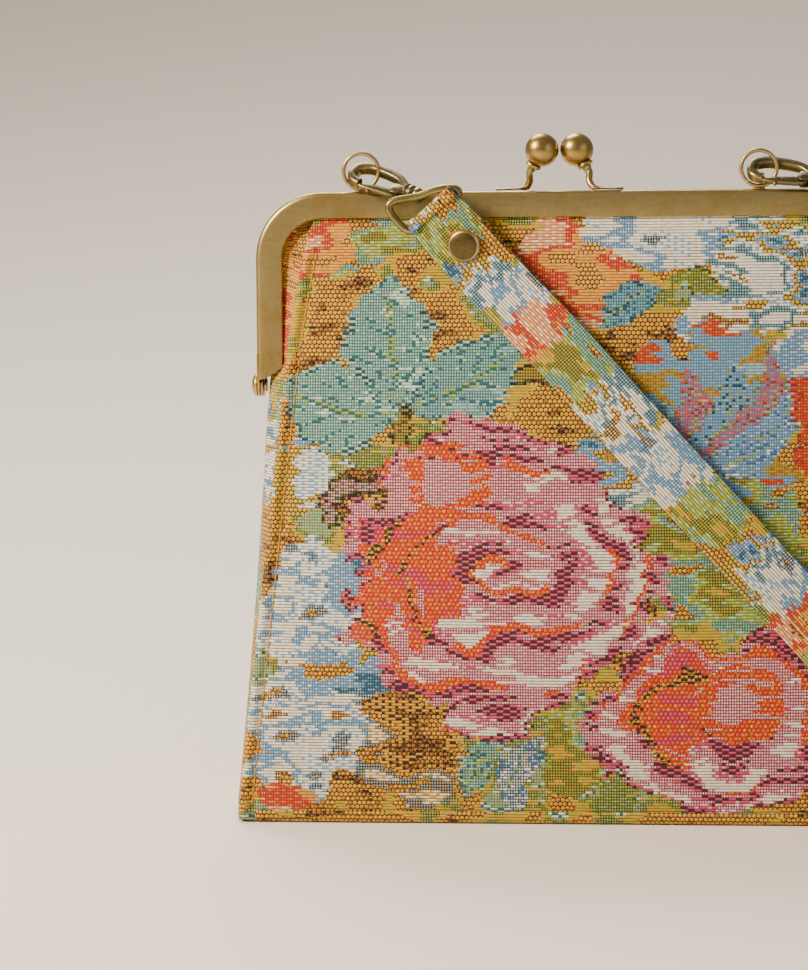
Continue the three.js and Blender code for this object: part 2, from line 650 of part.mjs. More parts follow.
// A strap end turned round its hook's eye and riveted to itself
const FOLD_LENGTH = 31;
const FOLD_WRAP = EYE_WIRE + GAP + FOLD_THICK / 2;
const FOLD_CLOSED = 0.75;
const RIVET_HOLE = 1.6;
const strapEnd = (label, points, width, outward, rivetPlace) => {
  const middle = new THREE.CatmullRomCurve3(points);
  const layerAt = (distance, face) => {
    const share = distance / FOLD_LENGTH;
    const tangent = middle.getTangentAt(share);
    const normal = tangent.clone().cross(width).normalize();
    normal.multiplyScalar(Math.sign(normal.dot(outward)));
    const apart = mix(FOLD_WRAP, FOLD_CLOSED, THREE.MathUtils.smoothstep(distance, 0, 8));
    return [middle.getPointAt(share).addScaledVector(normal, face * apart), normal.multiplyScalar(face)];
  };
  const start = middle.getPointAt(0);
  const away = middle.getTangentAt(0).negate();
  const [, outNormal] = layerAt(0, 1);
  const wrap = (angle) => {
    const radial = away.clone().multiplyScalar(Math.cos(angle)).addScaledVector(outNormal, Math.sin(angle));
    return [start.clone().addScaledVector(radial, FOLD_WRAP), radial];
  };
  const turns = Math.PI / 2;
  const pathAt = (v) => {
    if (v < 0.4) {
      return layerAt(FOLD_LENGTH * (1 - v / 0.4), -1);
    }
    if (v > 0.6) {
      return layerAt((FOLD_LENGTH * (v - 0.6)) / 0.4, 1);
    }
    return wrap(mix(-turns, turns, (v - 0.4) / 0.2));
  };
  const fold = sheet(2, 30, (u, v, t) => {
    const [point, normal] = pathAt(v);
    const nearEye = Math.min(1, Math.abs(v - 0.5) / 0.3);
    const half = mix(5.8, STRAP_WIDTH / 2, nearEye ** 1.5);
    const spread = mix(-half, half, u);
    const lift = (t - 0.5) * FOLD_THICK;
    return point.clone().addScaledVector(width, spread).addScaledVector(normal, lift);
  });
  const [outer, direction] = layerAt(rivetPlace, 1);
  const reach = FOLD_THICK / 2 + GAP;
  const span = 2 * (FOLD_CLOSED + reach);
  const base = outer.clone().addScaledVector(direction, reach - span);
  const profile = [[0, -0.6], [4, -0.6], [4, 0], [1.2, 0], [1.2, span], [CAP_RADIUS, span]];
  profile.push([CAP_RADIUS, span + 0.8], [CAP_RADIUS - 0.7, span + 1.5], [0, span + 1.7]);
  const rivet = turned(profile, base, direction, 24);
  const hole = new THREE.CylinderGeometry(RIVET_HOLE, RIVET_HOLE, 12, 12);
  hole.applyQuaternion(new THREE.Quaternion().setFromUnitVectors(Y_AXIS, direction.clone().normalize()));
  hole.translate(outer.x, outer.y, outer.z);
  addPart(`${label}_strap_end`, cutFrom(fold, hole), strapTapestry);
  addPart(`${label}_strap_rivet`, rivet, capBrass);
};

strapEnd('left', [
  vec(-40, LEFT_EYE_Y, 197.9),
  vec(-36, -13.7, 193.5),
  vec(-29.3, -15, 186.1),
  vec(-20, -17.8, 175.8),
], DIAGONAL.clone().normalize(), vec(0, -1, 0), 14);
const rightBar = rightJoin.clone().addScaledVector(rightAlong, EYE_DEPTH);
strapEnd('right', [
  rightBar,
  vec(103.4, -8.3, 203.6),
  vec(106.8, -8.3, 196),
  vec(108, -8.3, 180),
], rightAcross, X_AXIS, 20);

export default purse;
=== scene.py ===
"""A tapestry-cloth coin purse on a kiss-lock frame with a clip-on strap, in metres in the CAD frame."""

import math

import bmesh
import bpy
import numpy as np
from mathutils import Matrix, Quaternion, Vector


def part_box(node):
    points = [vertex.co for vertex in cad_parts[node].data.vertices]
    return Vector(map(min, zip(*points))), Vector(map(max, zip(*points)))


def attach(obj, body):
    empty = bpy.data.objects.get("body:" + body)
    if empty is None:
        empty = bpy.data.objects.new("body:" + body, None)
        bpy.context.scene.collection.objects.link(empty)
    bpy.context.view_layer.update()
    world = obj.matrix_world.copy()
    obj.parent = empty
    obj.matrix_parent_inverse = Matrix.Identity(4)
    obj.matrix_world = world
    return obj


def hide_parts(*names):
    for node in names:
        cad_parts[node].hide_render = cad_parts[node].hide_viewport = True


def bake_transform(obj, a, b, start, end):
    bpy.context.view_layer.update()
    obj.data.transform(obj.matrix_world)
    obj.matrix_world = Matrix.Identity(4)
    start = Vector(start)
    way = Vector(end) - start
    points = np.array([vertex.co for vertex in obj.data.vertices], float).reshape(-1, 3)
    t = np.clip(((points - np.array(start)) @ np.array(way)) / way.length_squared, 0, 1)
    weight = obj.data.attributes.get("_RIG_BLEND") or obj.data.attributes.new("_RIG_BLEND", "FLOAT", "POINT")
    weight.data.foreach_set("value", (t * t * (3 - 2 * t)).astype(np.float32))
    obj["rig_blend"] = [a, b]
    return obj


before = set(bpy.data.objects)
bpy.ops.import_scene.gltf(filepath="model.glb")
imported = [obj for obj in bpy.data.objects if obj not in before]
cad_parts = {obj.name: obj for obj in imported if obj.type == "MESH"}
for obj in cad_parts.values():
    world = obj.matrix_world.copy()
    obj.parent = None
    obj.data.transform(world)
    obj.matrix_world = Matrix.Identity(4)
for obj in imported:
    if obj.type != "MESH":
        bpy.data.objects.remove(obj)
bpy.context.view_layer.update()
MM = 0.001

# ---------------------------------------------------------------- camera
# The lens looks at the left two thirds of the purse, from a little to its right and a little above
CAMERA_AIM = Vector((-0.0519, 0.0, 0.1081))
CAMERA_DISTANCE = 1.116
CAMERA_TURN = math.radians(4.8)
CAMERA_PITCH = math.radians(5.0)
CAMERA_ROLL = math.radians(-0.45)
VIEW_HEIGHT = 0.3216

camera_data = bpy.data.cameras.new("studio_camera")
camera = bpy.data.objects.new("studio_camera", camera_data)
bpy.context.scene.collection.objects.link(camera)
bpy.context.scene.camera = camera
towards = Vector((
    math.sin(CAMERA_TURN) * math.cos(CAMERA_PITCH),
    -math.cos(CAMERA_TURN) * math.cos(CAMERA_PITCH),
    math.sin(CAMERA_PITCH),
))
camera.location = CAMERA_AIM + towards * CAMERA_DISTANCE
look = (-towards).to_track_quat("-Z", "Y")
camera.rotation_mode = "QUATERNION"
camera.rotation_quaternion = look @ Quaternion((0, 0, 1), CAMERA_ROLL)
camera_data.sensor_fit = "VERTICAL"
camera_data.angle = 2 * math.atan(VIEW_HEIGHT / 2 / CAMERA_DISTANCE)
camera_data.clip_start = 0.01
camera_data.clip_end = 20


# ---------------------------------------------------------------- mesh helpers
def piece(name, bm, body, material, nodes=(), smooth=40):
    """Makes a finished piece from a bmesh in metres, riding on a body and standing for CAD nodes."""
    mesh = bpy.data.meshes.new(name)
    bmesh.ops.recalc_face_normals(bm, faces=bm.faces[:])
    bm.to_mesh(mesh)
    bm.free()
    return finished(name, mesh, body, material, nodes, smooth)


def finished(name, mesh, body, material, nodes, smooth):
    """Links a mesh as a piece; body None leaves it for a blend."""
    mesh.shade_smooth()
    if smooth:
        mesh.set_sharp_from_angle(angle=math.radians(smooth))
    mesh.materials.append(material)
    made = bpy.data.objects.new(name, mesh)
    bpy.context.scene.collection.objects.link(made)
    if body:
        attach(made, body)
    if nodes:
        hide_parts(*nodes)
    return made


def catmull(points, count, closed=False):
    """Points at even steps along a smooth spline through given ones."""
    given = [Vector(p) for p in points]
    last = len(given)
    spans = last if closed else last - 1
    out = []
    for step in range(count if closed else count + 1):
        place = step / count * spans
        index = min(int(place), spans - 1)
        t = place - index
        a, b, c, d = (
            given[(index + k) % last] if closed else given[min(max(index + k, 0), last - 1)]
            for k in (-1, 0, 1, 2)
        )
        out.append(0.5 * (
            2 * b + (c - a) * t + (2 * a - 5 * b + 4 * c - d) * t ** 2 + (3 * b - a - 3 * c + d) * t ** 3
        ))
    return out


def frames_along(points, side, closed=False):
    """A matrix for each point: X is the section's side, Y its top and Z the way ahead."""
    count = len(points)
    matrices = []
    for index, point in enumerate(points):
        before = points[(index - 1) % count] if closed or index > 0 else point
        after = points[(index + 1) % count] if closed or index < count - 1 else point
        ahead = (after - before).normalized()
        wanted = side[index] if isinstance(side, list) else side
        across = (wanted - ahead * wanted.dot(ahead)).normalized()
        matrix = Matrix((across, ahead.cross(across), ahead)).transposed().to_4x4()
        matrix.translation = point
        matrices.append(matrix)
    return matrices


def sweep(bm, points, section, side, closed=False, scales=None):
    """Carries a closed section of (side, top) offsets along points, and caps or closes it."""
    matrices = frames_along(points, side, closed)
    scales = scales or [1.0] * len(points)
    matrices = [m @ Matrix.Scale(s, 4) for m, s in zip(matrices, scales)]
    ring = [bm.verts.new(matrices[0] @ Vector((x, y, 0))) for x, y in section]
    edges = [bm.edges.new((ring[i], ring[(i + 1) % len(ring)])) for i in range(len(ring))]
    first = edges
    for before, after in zip(matrices, matrices[1:]):
        made = bmesh.ops.extrude_edge_only(bm, edges=edges)["geom"]
        moved = [g for g in made if isinstance(g, bmesh.types.BMVert)]
        edges = [
            g for g in made
            if isinstance(g, bmesh.types.BMEdge) and g.verts[0] in moved and g.verts[1] in moved
        ]
        bmesh.ops.transform(bm, matrix=after @ before.inverted(), verts=moved)
    if closed:
        bmesh.ops.bridge_loops(bm, edges=first + edges)
    else:
        bmesh.ops.contextual_create(bm, geom=first)
        bmesh.ops.contextual_create(bm, geom=edges)


def round_section(radius, sides):
    """A circle, as (side, top) offsets."""
    turns = [2 * math.pi * i / sides for i in range(sides)]
    return [(radius * math.cos(a), radius * math.sin(a)) for a in turns]


def rounded_box_section(width, height, radius):
    """A rectangle with round corners, as (side, top) offsets."""
    steps = 3
    out = []
    for corner, (sx, sy) in enumerate(((1, 1), (-1, 1), (-1, -1), (1, -1))):
        for step in range(steps + 1):
            angle = math.pi / 2 * (corner + step / steps)
            out.append((
                sx * (width / 2 - radius) + radius * math.cos(angle),
                sy * (height / 2 - radius) + radius * math.sin(angle),
            ))
    return out


def in_metres(points):
    """Given millimetre pairs in metres."""
    return [(a * MM, b * MM) for a, b in points]


def turned(bm, profile, origin, axis, steps):
    """Spins a profile of (radius, height) in metres about an axis."""
    start = len(bm.verts)
    verts = [bm.verts.new((r, 0, h)) for r, h in profile]
    edges = [bm.edges.new(pair) for pair in zip(verts, verts[1:])]
    bmesh.ops.spin(
        bm, geom=verts + edges, cent=(0, 0, 0), axis=(0, 0, 1),
        angle=2 * math.pi, steps=steps, use_merge=True,
    )
    bm.verts.ensure_lookup_table()
    made = bm.verts[start:]
    turn = Vector(axis).to_track_quat("Z", "Y").to_matrix().to_4x4()
    turn.translation = Vector(origin)
    bmesh.ops.transform(bm, matrix=turn, verts=made)
    made = [v for v in bm.verts[start:] if v.is_valid]
    bmesh.ops.remove_doubles(bm, verts=made, dist=1e-6)


# ---------------------------------------------------------------- materials
class Recipe:
    """A node material being put together."""

    def __init__(self, name):
        self.material = bpy.data.materials.new(name)
        self.material.use_nodes = True
        self.tree = self.material.node_tree
        self.tree.nodes.clear()
        self.shader = self.add("ShaderNodeBsdfPrincipled")
        self.output = self.add("ShaderNodeOutputMaterial")
        self.tree.links.new(self.shader.outputs[0], self.output.inputs[0])

    def add(self, kind, settings=None, inputs=None):
        node = self.tree.nodes.new(kind)
        for key, value in (settings or {}).items():
            setattr(node, key, value)
        for key, value in (inputs or {}).items():
            self.put(node.inputs[key], value)
        return node

    def put(self, socket, value):
        if isinstance(value, bpy.types.NodeSocket):
            self.tree.links.new(value, socket)
        else:
            socket.default_value = value

    def math(self, operation, a, b=0.0):
        return self.add("ShaderNodeMath", {"operation": operation}, {0: a, 1: b}).outputs[0]

    def mix(self, share, a, b):
        node = self.add("ShaderNodeMix", {"data_type": "RGBA"})
        self.put(node.inputs[0], share)
        self.put(node.inputs[6], a)
        self.put(node.inputs[7], b)
        return node.outputs[2]

    def blend(self, share, a, b):
        node = self.add("ShaderNodeMix", {"data_type": "FLOAT"})
        self.put(node.inputs[0], share)
        self.put(node.inputs[2], a)
        self.put(node.inputs[3], b)
        return node.outputs[0]

    def noise(self, scale, detail=3.0, vector=None, roughness=0.55):
        place = vector or self.add("ShaderNodeTexCoord").outputs["Object"]
        node = self.add("ShaderNodeTexNoise", None, {
            "Vector": place, "Scale": scale, "Detail": detail, "Roughness": roughness,
        })
        return node.outputs["Fac"]

    def ramp(self, value, low, high):
        node = self.add("ShaderNodeMapRange", {"clamp": True}, {"Value": value})
        self.put(node.inputs["From Min"], low)
        self.put(node.inputs["From Max"], high)
        return node.outputs["Result"]

    def bump(self, height, strength, distance, normal=None):
        node = self.add("ShaderNodeBump", None, {
            "Height": height, "Strength": strength, "Distance": distance,
        })
        if normal is not None:
            self.put(node.inputs["Normal"], normal)
        return node.outputs["Normal"]

    def set(self, **values):
        for key, value in values.items():
            self.put(self.shader.inputs[key.replace("_", " ")], value)
        return self.material


def rgb(code):
    """A hex colour as linear RGBA."""
    parts = [int(code[i:i + 2], 16) / 255 for i in (1, 3, 5)]
    linear = [p / 12.92 if p <= 0.04045 else ((p + 0.055) / 1.055) ** 2.4 for p in parts]
    return (*linear, 1.0)


def aged_brass(name, base, bright, dark, roughness, spots):
    """Antique-finished brass: a dark patina in blotches, rubbed brighter patches and fine scratches."""
    r = Recipe(name)
    broad = r.ramp(r.noise(90, 4), 0.35, 0.7)
    fine = r.ramp(r.noise(900, 5, roughness=0.7), 0.52, 0.72)
    place = r.add("ShaderNodeTexCoord").outputs["Object"]
    stretched = r.add("ShaderNodeMapping", None, {"Vector": place, "Scale": (60, 900, 900)})
    scratch = r.noise(1, 3, stretched.outputs[0])
    colour = r.mix(broad, base, bright)
    colour = r.mix(r.math("MULTIPLY", fine, spots), colour, dark)
    level = r.blend(broad, roughness + 0.07, roughness - 0.05)
    level = r.math("ADD", level, r.math("MULTIPLY", scratch, 0.12))
    normal = r.bump(scratch, 0.10, 0.0002)
    normal = r.bump(r.noise(1400, 2), 0.06, 0.0002, normal)
    return r.set(Base_Color=colour, Metallic=1.0, Roughness=level, Normal=normal)


ANTIQUE_BRASS = aged_brass("antique_brass", rgb("#97804a"), rgb("#bba56c"), rgb("#42351a"), 0.30, 0.35)
CLASP_BRASS = aged_brass("clasp_brass", rgb("#93783f"), rgb("#b49a5c"), rgb("#4b3a1a"), 0.26, 0.3)
DARK_BRASS = aged_brass("dark_brass", rgb("#5f5741"), rgb("#948558"), rgb("#211d14"), 0.26, 0.6)
EYE_BRASS = aged_brass("eye_brass", rgb("#7d6e42"), rgb("#ab9860"), rgb("#2c2514"), 0.25, 0.45)
CAP_BRASS = aged_brass("cap_brass", rgb("#4e4228"), rgb("#6a5a38"), rgb("#241d10"), 0.36, 0.5)
RIM_BRASS = aged_brass("rim_brass", rgb("#a78d58"), rgb("#c4aa74"), rgb("#5b4522"), 0.3, 0.3)


# ---------------------------------------------------------------- metal frame
# Each half is a U channel: BAND is how wide its front shows, NEAR and FAR its depths from the middle plane
FRAME_HALF = 100 * MM
FRAME_TOP = 205 * MM
FRAME_CORNER = 22 * MM
BAND = 8.8 * MM
NEAR = 0.2 * MM
FAR = 5.4 * MM
WALL = 0.8 * MM
HINGE_Z = 141.5 * MM
LEG_TIP = 143.5 * MM
LEG_END = 148 * MM
TAB_TOP = 152 * MM


def arc_points(radius, steps, start, finish):
    """Offsets round part of a circle, in degrees."""
    turns = [math.radians(start + (finish - start) * i / steps) for i in range(steps + 1)]
    return [(radius * math.cos(a), radius * math.sin(a)) for a in turns]


def channel_section(side):
    """The frame's U channel as (inward, depth) offsets, its far outer edge well rounded."""
    edge = 1.7 * MM
    lip = 0.35 * MM
    outline = [(BAND - lip * 0.3, -FAR + WALL), (BAND, -FAR + WALL * 0.6), (BAND - lip, -FAR)]
    outline += [(BAND * 0.7, -FAR - 0.12 * MM), (BAND * 0.4, -FAR - 0.1 * MM)]
    outline += [(edge + x, -FAR + edge + y) for x, y in arc_points(edge, 6, 270, 180)]
    outline += [(lip + x, -NEAR - lip + y) for x, y in arc_points(lip, 3, 180, 90)]
    outline += [(BAND, -NEAR), (BAND, -NEAR - WALL), (WALL, -NEAR - WALL), (WALL, -FAR + WALL)]
    return [(a, y * -side) for a, y in outline]


def frame_route():
    """The outer edge of the inverted U from the left leg's tip to the right's, with inward directions."""
    points, inward = [], []
    centre_z = FRAME_TOP - FRAME_CORNER
    for z in (LEG_TIP, 150 * MM, 160 * MM, 172 * MM):
        points.append(Vector((-FRAME_HALF, 0, z)))
        inward.append(Vector((1, 0, 0)))
    for x, z in arc_points(FRAME_CORNER, 20, 180, 90):
        points.append(Vector((-FRAME_HALF + FRAME_CORNER + x, 0, centre_z + z)))
        inward.append(Vector((-x, 0, -z)).normalized())
    half = [(-p.x, p.z, -n.x, n.z) for p, n in zip(points, inward)]
    for x in (-40 * MM, 0.0, 40 * MM):
        points.append(Vector((x, 0, FRAME_TOP)))
        inward.append(Vector((0, 0, -1)))
    for x, z, nx, nz in reversed(half):
        points.append(Vector((x, 0, z)))
        inward.append(Vector((nx, 0, nz)))
    return points, inward


def plate(bm, outline, thickness, matrix, bevel):
    """A flat plate with a softened edge, its outline in X and Y before the matrix."""
    verts = [bm.verts.new((x, y, 0)) for x, y in outline]
    face = bm.faces.new(verts)
    grown = bmesh.ops.extrude_face_region(bm, geom=[face])["geom"]
    top = [g for g in grown if isinstance(g, bmesh.types.BMVert)]
    bmesh.ops.translate(bm, vec=(0, 0, thickness), verts=top)
    both = verts + top
    rims = [e for e in {e for v in both for e in v.link_edges}
            if abs(e.verts[0].co.z - e.verts[1].co.z) < 1e-9]
    made = bmesh.ops.bevel(bm, geom=rims, offset=bevel, segments=2, profile=0.5,
                           affect="EDGES", material=-1)
    both = list({v for f in made["faces"] for v in f.verts} | {v for v in both if v.is_valid})
    bmesh.ops.transform(bm, matrix=matrix, verts=both)


def hinge_tab(bm, side, end):
    """The leg's tab with its round eye, in the plane of the purse's side."""
    radius = 3.8 * MM
    far, near = side * FAR, side * NEAR
    start, finish = (180, 420) if side < 0 else (0, -240)
    outline = [(far * 0.96, TAB_TOP), (far * 0.96, LEG_END - 2 * MM)]
    outline += [(x, HINGE_Z + z) for x, z in arc_points(radius, 18, start, finish)]
    outline += [(near * 2, LEG_END), (near * 2, TAB_TOP)]
    inset = 0 if side < 0 else 1.1 * MM
    x0 = end * (FRAME_HALF - inset)
    x1 = x0 - end * WALL
    place = Matrix(((0, 0, 1, min(x0, x1)), (1, 0, 0, 0), (0, 1, 0, 0), (0, 0, 0, 1)))
    plate(bm, outline, WALL, place, 0.12 * MM)


def frame_half(name, side, body):
    """One half of the frame, each leg's outer wall cut away in a curve beside the hinge."""
    bm = bmesh.new()
    points, inward = frame_route()
    sweep(bm, points, channel_section(side), inward)
    for v in bm.verts:
        if v.co.z < LEG_TIP + 0.1 * MM:
            into = (FRAME_HALF - abs(v.co.x)) / BAND
            outer = abs(v.co.y) > FAR - WALL * 1.5
            rise = max(0.0, into - 0.15) / 0.85
            v.co.z = LEG_TIP + (LEG_END - LEG_TIP) * (rise ** 1.6 if outer else 1.0)
    for end in (-1, 1):
        hinge_tab(bm, side, end)
    piece(name, bm, body, ANTIQUE_BRASS, [name.replace("channel", "frame")], 32)


frame_half("front_channel", -1, "purse")
frame_half("back_channel", 1, "back_half")


def hinge_rivet(name, end):
    """A rivet through both halves' eyes, with a domed head outside and a peened one inside."""
    seat = FRAME_HALF / MM + 0.1
    inner = FRAME_HALF / MM - 3.0
    shank, peened, head, dome = 1.2, 2.2, 3.8, 1.7
    profile = [(0, inner), (peened - 0.2, inner), (peened, inner + 0.2), (peened, inner + 0.8)]
    profile += [(shank, inner + 0.8), (shank, seat), (head - 0.3, seat), (head, seat + 0.25)]
    profile += [(head * c, seat + 0.4 + dome * s) for c, s in arc_points(1, 10, 8, 90)]
    profile[-1] = (0, profile[-1][1])
    bm = bmesh.new()
    turned(bm, in_metres(profile), (0, 0, HINGE_Z), (end, 0, 0), 40)
    piece(name, bm, "purse", ANTIQUE_BRASS, [name.replace("stud", "rivet")])


hinge_rivet("left_hinge_stud", -1)
hinge_rivet("right_hinge_stud", 1)


# ---------------------------------------------------------------- clasp
BALL = 5.5 * MM


def clasp(label, side, end, body):
    """A ball on a bent stem whose flat foot is soldered on the rim."""
    low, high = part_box(f"{label}_clasp_ball")
    centre = (Vector(low) + Vector(high)) / 2
    lean = Vector((end * 3.2, side * 1.0, -5.6)).normalized()
    foot_y = side * 2.8 * MM
    seat = FRAME_TOP + 0.05 * MM
    bm = bmesh.new()
    bmesh.ops.create_uvsphere(bm, u_segments=56, v_segments=36, radius=BALL)
    bmesh.ops.translate(bm, vec=centre, verts=bm.verts)
    piece(f"{label}_ball", bm, body, CLASP_BRASS, [f"{label}_clasp_ball"])

    bm = bmesh.new()
    collar = [(0, 0), (2.5, 0.1), (2.75, 0.5), (2.6, 1.0), (1.9, 1.25), (1.5, 1.7), (1.3, 2.6), (0, 2.6)]
    turned(bm, in_metres(collar), centre + lean * (BALL - 0.35 * MM), lean, 32)
    neck = centre + lean * (BALL + 1.2 * MM)
    elbow = Vector((end * 10.8 * MM, foot_y, seat + 1.5 * MM))
    steps = 40
    route = catmull([
        neck, neck + lean * 1.8 * MM,
        neck.lerp(elbow, 0.62) + Vector((end * -0.3 * MM, 0, -0.5 * MM)),
        elbow + Vector((0, 0, -0.2 * MM)),
        Vector((end * 12.6 * MM, foot_y, seat + 0.75 * MM)),
        Vector((end * 16 * MM, foot_y, seat + 0.6 * MM)),
        Vector((end * 21 * MM, foot_y, seat + 0.45 * MM)),
    ], steps)
    ring_sides = 14
    section = round_section(1.0, ring_sides)
    stem_radius = 1.15
    previous = None
    for step, matrix in enumerate(frames_along(route, Vector((0, 1, 0)))):
        share = max(0.0, (step / steps - 0.5) / 0.5)
        wide = (stem_radius + 0.95 * math.sin(math.pi * min(1.0, share * 0.72)) ** 0.8) * MM
        tall = (stem_radius - 0.72 * min(1.0, share * 2.2)) * MM
        if step > 37:
            wide *= (0.86, 0.6, 0.25)[step - 38]
        ring = [bm.verts.new(matrix @ Vector((x * wide, y * tall, 0))) for x, y in section]
        edges = [bm.edges.new((ring[i], ring[(i + 1) % ring_sides])) for i in range(ring_sides)]
        if previous:
            bmesh.ops.bridge_loops(bm, edges=previous + edges)
        else:
            first = edges
        previous = edges
    bmesh.ops.contextual_create(bm, geom=first)
    bmesh.ops.contextual_create(bm, geom=previous)
    piece(f"{label}_arm", bm, body, ANTIQUE_BRASS, [f"{label}_clasp_arm"], 50)


clasp("front", -1, 1, "purse")
clasp("back", 1, -1, "back_half")


# ---------------------------------------------------------------- strap rings
def strap_ring(name, node):
    """A wire ring with its butt joint, soldered upright on the front half of the frame."""
    low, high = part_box(node)
    x = (low[0] + high[0]) / 2
    y = (low[1] + high[1]) / 2
    radius, wire = 5.78 * MM, 0.68 * MM
    centre = Vector((x, y, high[2] - radius - wire))
    bm = bmesh.new()
    route = [centre + Vector((a, 0, b)) for a, b in arc_points(radius, 64, -132, 226)]
    sweep(bm, route, round_section(wire, 12), Vector((0, 1, 0)))
    solder = [(0, 0), (2.3, 0), (1.9, 0.35), (1.1, 0.75), (0, 0.95)]
    start = len(bm.verts)
    turned(bm, in_metres(solder), (x, y, FRAME_TOP + 0.02 * MM), (0, 0, 1), 24)
    bm.verts.ensure_lookup_table()
    for v in bm.verts[start:]:
        v.co.y = y + (v.co.y - y) * 0.55
    piece(name, bm, "purse", ANTIQUE_BRASS, [node], 50)


strap_ring("left_loop_ring", "left_strap_ring")
strap_ring("right_loop_ring", "right_strap_ring")


# ---------------------------------------------------------------- tapestry design
# The cloth is drawn on a flat plan in millimetres: one colour for each crossing of warp and weft
WARP = 1.1
WEFT = 0.95
CLOTH = 0.9

COLOURS = {
    "gold": "#dfa21c", "ochre": "#a8690c", "lime": "#aab02a", "olive": "#6d7418", "mint": "#a8cfae",
    "pale_mint": "#d4ecd2", "teal": "#24626a", "sky": "#8db4cc", "blue": "#3f6f9a", "deep_teal": "#10404e",
    "cream": "#f4e6c4", "white": "#f6efdf", "rose": "#cf4a6c", "crimson": "#8c1436", "pink": "#f0bcc4",
    "orange": "#e2440e", "rust": "#9c2808", "peach": "#f2a25c", "brown": "#2e1c08", "black": "#0e0905",
    "plum": "#4c1428", "moss": "#38400e",
}
THREADS = {name: np.array(rgb(code)[:3]) for name, code in COLOURS.items()}


def hashed(i, j, seed):
    """A repeatable 0..1 value for whole-number places."""
    column = i.astype(np.int64) * 374761393
    row = j.astype(np.int64) * 668265263
    mixed = (column + row + seed * 974634777) & 0x7FFFFFFF
    mixed = ((mixed ^ (mixed >> 13)) * 1274126177) & 0x7FFFFFFF
    return ((mixed ^ (mixed >> 16)) & 0xFFFF) / 65535.0


def cloud(x, z, size, seed):
    """Smooth 0..1 noise with features of about one size."""
    x, z = x / size, z / size
    i, j = np.floor(x), np.floor(z)
    fx, fz = x - i, z - j
    fx, fz = fx * fx * (3 - 2 * fx), fz * fz * (3 - 2 * fz)
    low = hashed(i, j, seed) * (1 - fx) + hashed(i + 1, j, seed) * fx
    high = hashed(i, j + 1, seed) * (1 - fx) + hashed(i + 1, j + 1, seed) * fx
    return low * (1 - fz) + high * fz


def smooth(value, low, high):
    """Eases from 0 at low to 1 at high."""
    t = np.clip((value - low) / (high - low), 0, 1)
    return t * t * (3 - 2 * t)


# The three weaves: small dots over the ground, long threads, and round knots
DOTS, FLOATS, BERRIES = 0.0, 1.0, 2.0


